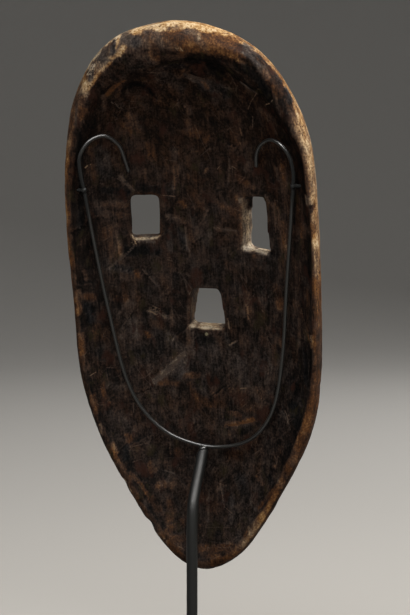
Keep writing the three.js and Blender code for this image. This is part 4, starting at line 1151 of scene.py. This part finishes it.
# The carved wood: patina over bare wood. The painted wear, roughened by mottling, fibres and pepper at
# several sizes, is read off three rows of colours, the third a painted grey sheen for reflections off glossy
# patina, and scratches and strokes are laid over it.
def woodFinish():
    material, shader, start = startFinish("carved_wood")
    place = start.node("ShaderNodeTexCoord", output="Object")
    onMask = start.node("ShaderNodeMapping", {"vector_type": "TEXTURE"}, {
        "Vector": place, "Location": [value * mm for value in stand["maskCentre"]],
        "Rotation": (-math.radians(stand["leanBack"]), 0, 0), "Scale": (mm, mm, mm)})
    wear, hue, bulge, swing = start.attribute("wearing")
    across, past, strokeWear, strokeHue = start.attribute("marks")
    face, hollow, _, _ = start.attribute("sides")
    x, _, z = onMask.split("ShaderNodeSeparateXYZ")
    stir, rise, blur = woodLook["stir"], woodLook["rise"], woodLook["blur"]

    def grain(name):
        lengths, turn, *kind = woodGrain[name]
        return onMask.stretched(lengths, (0, turn, 0)).noise(*kind)

    broad, mottle, fibre, streak, pepper, film, stain = (grain(name) for name in woodGrain)
    bright = wear.ramp(*woodLook["brightWear"])
    fine = (mottle - 0.5) * (stir["mottle"] + bright * stir["brightMottle"])
    fine = fine + (fibre - 0.5) * stir["fibre"] + (streak - 0.5) * stir["streak"]
    fine = fine + (pepper - 0.5) * (stir["pepper"] + bright * stir["brightPepper"])
    level = wear + (broad - 0.5) * stir["broad"] + fine * swing
    lowest, highest = woodLook["bulgeEnds"]
    level = level + (bulge * (stir["bulge"] - hollow * stir["hollowBulge"])).larger(lowest).smaller(highest)
    pits = (1 - pepper.ramp(0.3, 0.46)) * mottle.ramp(0.4, 0.6)
    level = level - pits * bright * stir["pits"]

    def scratches(turn, size, breadth, away):
        moved = onMask.node("ShaderNodeMapping", {"vector_type": "POINT"},
                            {"Vector": onMask, "Location": (away, 0, away)})
        field = moved.stretched((1, 1, 9), (0, turn, 0)).noise(size, 1.5, 0.5)
        return 1 - (field - 0.5).size().ramp(breadth * 0.3, breadth)

    first, second, third = (scratches(*kind) for kind in hairlines)
    lines = first.larger(second).larger(third) * film.ramp(0.5, 0.62) * hollow
    stroke = (1 - (across.size() + (mottle - 0.5) * 1.4).ramp(0.7, 1.25)) * (1 - past.ramp(0.2, 2.4))
    stroke = stroke * (pepper * 0.6 + mottle * 0.4).ramp(0.36, 0.54)

    level = level + lines * stir["lines"]
    level = level + (strokeWear - level) * stroke * stir["stroke"]
    tint = (hue + (film - 0.5) * 2.2 + (streak - 0.5) * 0.7).smaller(1).larger(-1)
    tint = tint + (strokeHue - tint) * stroke
    tint = tint * (1 - lines * 0.7)

    warm, grey, greySheen = (level.node("ShaderNodeValToRGB", {"stops": woodColours[name]}, {"Fac": level})
                        for name in ("warm", "grey", "greySheen"))
    # Below a hue of 0 the colour turns to the painted grey sheen that stands in for reflections off glossy
    # patina.
    colour = grey.toward(warm, tint.larger(0)).toward(greySheen, (tint * -1).larger(0))
    low = 1 - level.ramp(0.3, 0.5)
    red, olive = stain.ramp(0.56, 0.72) * low, (1 - stain.ramp(0.3, 0.42)) * low
    colour = colour.toward(woodColours["redPatina"], red * woodLook["redPatina"])
    colour = colour.toward(woodColours["olivePatina"], olive * woodLook["olivePatina"])

    halves = (x * 0.12 + (mottle - 0.5) * 1.6 + 0.5).ramp(0.2, 0.8)
    clay = start.plain(woodColours["ochre"]).toward(woodColours["kaolin"], halves)
    clay = clay.toward(woodColours["umber"], (film - 0.45).larger(0) * 1.6)
    kept = (mottle * 0.5 + streak * 0.35 + pepper * 0.3 + broad * 0.5 - bulge * 1.3).ramp(0.66, 0.78)
    kept = kept * face
    colour = colour.toward(clay, kept * woodLook["clay"])
    grime = (broad * 0.7 + film * 0.4 - bulge * 2.5).ramp(0.66, 0.9) * face
    colour = colour.toward(woodColours["soot"], grime * woodLook["soot"])

    dustX, dustZ, dustSize = wearing["dust"]
    awayX, awayZ = x - dustX, z - dustZ
    speck = 1 - ((awayX * awayX + awayZ * awayZ) ** 0.5 + (pepper - 0.5) * 2).ramp(dustSize * 0.4, dustSize)
    colour = colour.toward(woodColours["dust"], speck * hollow * woodLook["dust"])
    linkTo(shader, "Base Color", colour)

    rough = blur["plain"] + (mottle - 0.5) * blur["mottle"] + (pepper - 0.5) * blur["pepper"]
    rough = rough + bright * blur["bright"] + lines * blur["lines"]
    smoothest, roughest = woodLook["blurEnds"]
    linkTo(shader, "Roughness", rough.smaller(roughest).larger(smoothest))
    height = (mottle - 0.5) * rise["mottle"] + (fibre - 0.5) * (rise["fibre"] + bright * rise["brightFibre"])
    height = height + (streak - 0.5) * rise["streak"] + (pepper - 0.5) * rise["pepper"]
    height = height - lines * rise["lines"] - stroke * rise["stroke"] + kept * rise["clay"]
    bump = height.node("ShaderNodeBump", None, {"Strength": 1.0, "Distance": mm, "Height": height})
    linkTo(shader, "Normal", bump)
    shader.inputs["Specular IOR Level"].default_value = woodLook["specular"]
    return material


print("cradle")
cradle = {
    "wireRadius": 1.25, "wireLift": 5.2, "wireSides": 24, "wireRows": 620,
    # The wire's route behind the mask: x, z, and its share of the lift off the hollow.
    "route": [
        (48.5, 90.7, .45), (49.8, 101, .8), (52.5, 112.4, 1), (60.6, 120.1, 1), (69.5, 117.6, 1),
        (75.8, 108, 1), (76.9, 93, 1), (76.2, 82.6, 1), (74, 53, 1), (67.7, -5, 1), (58.1, -60, 1),
        (47.5, -83, 1), (31, -100.5, 1), (6.6, -110.2, 1), (-14, -109.2, 1), (-29, -103.2, 1),
        (-41.5, -91.5, 1), (-50.5, -74, 1), (-57.5, -40, 1), (-64.1, 15, 1), (-69, 52, 1), (-73.3, 84.4, 1),
        (-74.4, 95, 1), (-71.6, 108, 1), (-65.5, 114.8, 1), (-58, 116.7, 1), (-50.5, 112.5, 1),
        (-45.8, 105.5, .8), (-43.9, 94.4, .45)],
    "prongs": [(76.2, 82.6, 1), (-73.5, 85.5, -1)], "prongLength": 10.0, "prongRadius": 1.1,
    "towardsFace": 0.16, "towardsChin": 0.03, "beadRadius": 2.0,
    "prongSides": 20, "holeRadius": 1.45, "holePast": 1.0, "holeRoundness": 0.2,
    "lugRadius": 3.1, "lugLength": 2.8, "lugRows": 40, "lugSides": 40, "lugRoundness": 0.25, "lugFade": 4,
    "weldHalves": (5.2, 2.1, 2.0), "weldPlace": (-1.0, 0, 0.2),
    "lumpRings": (0.08, 24), "lumpSides": 36, "ripple": 0.05,
    # The wire's polish falls from 1 between these distances from its middle line.
    "middle": 1.3, "polishEnds": (72.5, 76.0), "polishFall": 4,
}
bar = {"capShares": (0.12, 0.3, 0.55, 0.8, 1.0), "capClear": 1.05}
steelColours = {
    "lacquer": (0.006, 0.0066, 0.0061), "grime": (0.004, 0.0045, 0.004), "rubbed": (0.04, 0.04, 0.037),
    "polished": (0.015, 0.0152, 0.014), "powder": (0.016, 0.0165, 0.0175), "worn": (0.04, 0.039, 0.037),
    "dust": (0.16, 0.155, 0.145),
}
# How rough the lacquer is, how much smoother the polish makes it, and how strongly each noise changes that;
# then the same for the powder coat.
lacquerBlur = {"plain": 0.5, "polish": 0.18, "cloud": 0.14, "grime": 0.14, "grit": 0.06}
powderBlur = {"plain": 0.52, "cloud": 0.25, "peel": 0.15}


# A round bar carried along a path: rings of cos and sin about it. At each end the ring's radius r grows as
# r (1 - k + k sin a) while it moves in by r k (1 - cos a), so k is how round the end is.
def barRows(path, radius, sides, frameAxis=(0, 1, 0), roundness=1.0):
    tangent = np.gradient(path, axis=0)
    tangent /= np.linalg.norm(tangent, axis=1)[:, None]
    first = np.cross(tangent, frameAxis)
    first /= np.linalg.norm(first, axis=1)[:, None]
    second = np.cross(tangent, first)
    turn = np.linspace(0, tau, sides, endpoint=False)[:, None]
    ring = first[:, None] * np.cos(turn) + second[:, None] * np.sin(turn)
    angles = np.array(bar["capShares"]) * math.pi / 2

    def cap(end, inwards):
        centres = path[end] + inwards * tangent[end] * (radius * roundness * (1 - np.cos(angles)))[:, None]
        reach = radius * (1 - roundness + roundness * np.sin(angles))
        return centres[:, None] + ring[end] * reach[:, None, None]

    clear = radius * roundness * bar["capClear"]
    inside = np.linalg.norm(path - path[0], axis=1) > clear
    inside &= np.linalg.norm(path - path[-1], axis=1) > clear
    body = path[inside, None] + ring[inside] * radius
    return np.vstack([cap(0, 1), body, cap(-1, -1)[::-1]])


# Where a prong leaves the wire and where it ends, in the wall of the hollow.
def prongEnds(place):
    x, z, side = place
    start = np.array([x, hollowAt(np.array([x]), np.array([z]))[0] + cradle["wireLift"], z])
    direction = np.array([side, -cradle["towardsFace"], -cradle["towardsChin"]])
    direction /= np.linalg.norm(direction)
    return start, start + direction * cradle["prongLength"], direction


def straightPath(start, end, rows=24):
    return start + (end - start) * np.linspace(0, 1, rows)[:, None]


# The wire's path: a curve through its route, held off the hollow.
def wirePath():
    x, z, share = np.array(cradle["route"]).T
    knots = np.stack([x, hollowAt(x, z) + cradle["wireLift"] * share, z], -1)
    return walkEvenly(curveThrough(knots, False), cradle["wireRows"], False)


# Drops points along the rod's axis to a plane that slants across it: by slant * (radius + x), with the
# slant fading out over the given length below the rod's top.
def mitre(rows, top, axis, fade):
    below = np.clip(-(rows - top) @ axis, 0, fade) / fade
    drop = stand["mitre"] * (stand["stemRadius"] + rows[..., 0]) * (1 - below) ** 2
    return rows - axis * drop[..., None]


# A lump of brazing metal: an ellipsoid whose radius ripples as sin(3a + 1) sin 2b.
def lumpRows(centre, halves):
    fromPole, rings = cradle["lumpRings"]
    a = np.linspace(fromPole, math.pi - fromPole, rings)[:, None]
    b = np.linspace(0, tau, cradle["lumpSides"], endpoint=False)
    swell = 1 + cradle["ripple"] * np.sin(3 * a + 1) * np.sin(2 * b)
    lump = np.stack([np.cos(a) * np.ones_like(b), np.sin(a) * np.cos(b), np.sin(a) * np.sin(b)], -1)
    return centre + swell[..., None] * lump * halves


def buildCradle(finish):
    rows = barRows(wirePath(), cradle["wireRadius"], cradle["wireSides"])
    wire = makeLoft("wire_cradle", toStand(rows), finish)
    parts = []
    for place in cradle["prongs"]:
        start, end, _ = prongEnds(place)
        rows = barRows(straightPath(start, end), cradle["prongRadius"], cradle["prongSides"])
        parts.append(makeLoft("prong", toStand(rows), finish))
        parts.append(makeLoft("bead", toStand(lumpRows(start, np.full(3, cradle["beadRadius"]))), finish))
    foot, knee = np.array(stand["stemRoute"][0], float), np.array(stand["stemRoute"][1], float)
    axis = (foot - knee) / np.linalg.norm(foot - knee)
    bottom = foot + axis * stand["gap"]
    top = bottom + axis * cradle["lugLength"]
    path = straightPath(bottom, top, cradle["lugRows"])
    rows = barRows(path, cradle["lugRadius"], cradle["lugSides"], (1, 0, 0), cradle["lugRoundness"])
    rows = mitre(rows, top, axis, cradle["lugFade"] * cradle["lugLength"])
    parts.append(makeLoft("lug", rows * mm, finish))
    weld = lumpRows(top + cradle["weldPlace"], np.array(cradle["weldHalves"]))
    parts.append(makeLoft("weld", weld * mm, finish))
    joinOrCut(wire, parts, "UNION")
    x = readMesh(wire.data, turnToMask=True)[0][:, 0]
    polish = 1 - cradle["polishFall"] * ease(np.abs(x - cradle["middle"]), *cradle["polishEnds"])
    paintPoints(wire.data, "polish", [polish] * 4)
    return wire


def buildStem(finish):
    path = walkEvenly(curveThrough(stand["stemRoute"], False), stand["stemRows"], False)
    rows = barRows(path, stand["stemRadius"], stand["stemSides"], (1, 0, 0), stand["stemRoundness"])
    axis = path[0] - path[1]
    rows = mitre(rows, path[0], axis / np.linalg.norm(axis), stand["mitreFade"])
    return makeLoft("bent_stem", rows * mm, finish)


# The foot plate as one skin: a square loop with round corners, carried in from the underside's middle,
# round the edges and over the top, then turning into a circle that goes down the blind hole.
def buildFoot(finish):
    turn = (np.arange(stand["footColumns"]) + 0.5) / stand["footColumns"] * tau
    corner = stand["footCorner"]

    def square(half):
        reach = half - corner
        flat = np.stack([np.cos(turn), np.sin(turn)], -1)
        flat /= np.max(np.abs(flat), axis=1)[:, None]
        core = np.clip(flat * half, -reach, reach)
        away = flat * half - core
        length = np.maximum(np.linalg.norm(away, axis=1), 1e-9)[:, None]
        return core + away / length * np.minimum(length, corner)

    circle = np.stack([np.cos(turn), np.sin(turn)], -1)
    half, top, bore = stand["footSide"] / 2, stand["footThickness"], stand["stemRadius"] + stand["gap"]
    under, soft, lip = stand["footUnderRound"], stand["footRound"], stand["boreRound"]
    bottom = top - stand["boreDepth"]

    def row(loop, height):
        return np.hstack([loop, np.full((len(turn), 1), height)])

    rows = [row(square(half - under) * way, 0) for way in (0.1, 0.4, 0.7, 0.97, 1)]
    rows += [row(square(half - under * (1 - math.sin(a))), under * (1 - math.cos(a)))
             for a in (0.4, 0.8, 1.2, math.pi / 2)]
    rows += [row(square(half), height) for height in (1.2, 4, top - soft - 0.4)]
    rows += [row(square(half - soft * (1 - math.cos(a))), top - soft * (1 - math.sin(a)))
             for a in np.linspace(0, math.pi / 2, 7)]
    rows += [row(square(half - soft) * (1 - way) + circle * (bore + lip) * way, top)
             for way in (0.01, 0.03, 0.1, 0.3, 0.5, 0.7, 0.85, 0.95, 0.99, 1)]
    rows += [row(circle * (bore + lip * (1 - math.sin(a))), top - lip * (1 - math.cos(a)))
             for a in (0.4, 0.8, 1.2)]
    rows += [row(circle * bore, height) for height in (top - lip - 0.2, top - 3, bottom + 0.1)]
    rows += [row(circle * bore * way, bottom) for way in (0.98, 0.5, 0.1)]
    return makeLoft("foot_plate", np.array(rows) * mm, finish)


# Satin grey lacquer over steel: a dark base with faint cloudy handling marks, fine rubbed lines and
# pinholes. The thin wire is smoother than the rod, by the polish painted on its points.
def lacquerFinish():
    material, shader, start = startFinish("grey_steel")
    place = start.node("ShaderNodeTexCoord", output="Object")
    polish = start.attribute("polish")[0]
    cloud = place.noise(0.018, 4, 0.6)
    grime = place.noise(0.0035, 4, 0.65)
    grit = place.noise(0.0005, 2, 0.5)
    rubbed = place.stretched((1, 1, 9)).noise(0.0007, 2, 0.6)
    colour = start.plain(steelColours["lacquer"])
    colour = colour.toward(steelColours["grime"], (grime - 0.4).larger(0) * 1.5)
    colour = colour.toward(steelColours["rubbed"], (rubbed * 0.7 + cloud * 0.4).ramp(0.66, 0.8) * 0.2)
    colour = colour.toward(steelColours["polished"], polish.larger(0) * 0.85)
    linkTo(shader, "Base Color", colour)
    linkTo(shader, "Coat Weight", polish.larger(0) * 0.5)
    shader.inputs["Coat Roughness"].default_value = 0.32
    shader.inputs["Specular IOR Level"].default_value = 0.2
    rough = lacquerBlur["plain"] - polish * lacquerBlur["polish"]
    for noise, name in ((cloud, "cloud"), (grime, "grime"), (grit, "grit")):
        rough = rough + (noise - 0.5) * lacquerBlur[name]
    linkTo(shader, "Roughness", rough)
    height = (grit - 0.5) * 0.03 + (grime - 0.5) * 0.08 + (rubbed - 0.5) * 0.02
    linkTo(shader, "Normal", height.node("ShaderNodeBump", None, {"Distance": mm, "Height": height}))
    return material


# Matt black powder coat: an orange-peel skin with a little dust in specks.
def powderFinish():
    material, shader, start = startFinish("black_steel")
    place = start.node("ShaderNodeTexCoord", output="Object")
    peel = place.noise(0.0009, 2, 0.5)
    cloud = place.noise(0.035, 4, 0.6)
    specks = place.noise(0.0016, 3, 0.7)
    colour = start.plain(steelColours["powder"]).toward(steelColours["worn"], cloud.ramp(0.35, 0.75) * 0.6)
    colour = colour.toward(steelColours["dust"], specks.ramp(0.66, 0.74) * cloud.ramp(0.4, 0.6) * 0.6)
    linkTo(shader, "Base Color", colour)
    rough = powderBlur["plain"] + (cloud - 0.5) * powderBlur["cloud"] + (peel - 0.5) * powderBlur["peel"]
    linkTo(shader, "Roughness", rough)
    linkTo(shader, "Normal", peel.node("ShaderNodeBump", None, {"Distance": 0.12 * mm, "Height": peel}))
    return material


# Cuts the prongs' holes in the carved shell and gives it its wear and finish.
def finishMask(shell):
    holes = []
    for place in cradle["prongs"]:
        _, end, direction = prongEnds(place)
        bottom = end + direction * cradle["holePast"]
        path = straightPath(bottom - direction * cradle["prongLength"], bottom)
        rows = barRows(path, cradle["holeRadius"], cradle["prongSides"], roundness=cradle["holeRoundness"])
        holes.append(makeLoft("hole", toStand(rows), None))
    joinOrCut(shell, holes, "DIFFERENCE")
    shell.name = shell.data.name = "carved_mask"
    shell.data.materials.clear()
    shell.data.materials.append(woodFinish())
    paintWear(shell.data)
    return shell


shell = buildShell()
carveRelief(shell)
mask = finishMask(shell)
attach(mask, "root")
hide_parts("mask")

greySteel = lacquerFinish()
wire = buildCradle(greySteel)
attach(wire, "root")
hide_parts("cradle")

print("stem and foot")
stem = buildStem(greySteel)
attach(stem, "root")
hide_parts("stem")
foot = buildFoot(powderFinish())
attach(foot, "root")
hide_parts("foot")

print("studio")
studio = {"floorRadius": 5.5, "wallHeight": 6.0, "wallRound": 3.0, "middleRing": 0.02, "firstTurn": 0.05,
          "columns": 96, "flatRings": 24, "turnRings": 20, "colour": (0.5, 0.49, 0.475), "roughness": 0.9,
          "specular": 0.1, "air": (0.9, 0.95, 1.0), "airStrength": 0.08}


# A round pale bowl: a flat floor that turns up into a wall far outside every view's camera.
def buildStudio():
    count, bend = studio["columns"], studio["wallRound"]
    column = np.arange(count)
    around, onward = column / count * tau, (column + 1) % count
    flat = np.linspace(studio["middleRing"], studio["floorRadius"] - bend, studio["flatRings"])
    turn = np.linspace(studio["firstTurn"], 1, studio["turnRings"]) * math.pi / 2
    radii = np.concatenate([flat, flat[-1] + bend * np.sin(turn), [studio["floorRadius"]]])
    heights = np.concatenate([np.zeros(len(flat)), bend * (1 - np.cos(turn)), [studio["wallHeight"]]])
    rows = np.stack([radii[:, None] * np.cos(around), radii[:, None] * np.sin(around),
                     np.broadcast_to(heights[:, None], (len(radii), count))], -1)
    points = np.vstack([rows.reshape(-1, 3), [(0, 0, 0)]])
    first = np.arange(len(radii) - 1)[:, None] * count
    here, there = first + column, first + onward
    quads = np.stack([here, here + count, there + count, there], -1).reshape(-1, 4)
    fan = np.stack([np.full(count, len(points) - 1), column, onward], -1)
    corners = np.concatenate([quads.ravel(), fan.ravel()])
    starts = np.concatenate([np.arange(len(quads)) * 4, len(quads) * 4 + column * 3])
    material, shader, _ = startFinish("pale_floor")
    shader.inputs["Base Color"].default_value = (*studio["colour"], 1)
    shader.inputs["Roughness"].default_value = studio["roughness"]
    shader.inputs["Specular IOR Level"].default_value = studio["specular"]
    return makePiece("floor", points, corners, starts, material)


floor = buildStudio()

# The lamps, in metres and watts. The gleam only shows as highlights.
lamps = [
    {"name": "key", "place": (-0.95, 0.3, 1.75), "size": (0.8, 0.8), "power": 34,
     "colour": (1.0, 0.95, 0.87)},
    {"name": "fill", "place": (-0.75, 1.6, 1.85), "size": (0.7, 0.7), "power": 4.5,
     "colour": (1.0, 0.97, 0.93)},
    {"name": "top", "place": (0.2, 1.35, 1.95), "size": (1.3, 1.3), "power": 14,
     "colour": (1.0, 0.98, 0.95)},
    {"name": "gleam", "place": (-0.6, 1.3, 1.95), "size": (4.4, 0.6), "power": 260,
     "colour": (1.0, 0.98, 0.95), "glossyOnly": True},
    {"name": "front", "place": (-0.6, -2.0, 1.5), "size": (1.4, 1.4), "power": 22,
     "colour": (1.0, 0.98, 0.95)},
]


def placeLamps():
    target = np.array(photo["target"]) * mm
    for lamp in lamps:
        data = bpy.data.lights.new(lamp["name"], "AREA")
        data.shape = "ELLIPSE"
        data.size, data.size_y = lamp["size"]
        data.energy = lamp["power"]
        data.color = lamp["colour"]
        light = bpy.data.objects.new(lamp["name"], data)
        bpy.context.scene.collection.objects.link(light)
        light.location = lamp["place"]
        light.visible_diffuse = not lamp.get("glossyOnly", False)
        away = np.array(lamp["place"]) - target
        light.rotation_euler = (math.atan2(math.hypot(away[0], away[1]), away[2]), 0,
                                math.atan2(away[0], -away[1]))


placeLamps()
world = bpy.data.worlds.new("studio_air")
world.use_nodes = True
air = world.node_tree.nodes["Background"]
air.inputs["Color"].default_value = (*studio["air"], 1)
air.inputs["Strength"].default_value = studio["airStrength"]
bpy.context.scene.world = world
bpy.context.scene.view_settings.view_transform = "Standard"
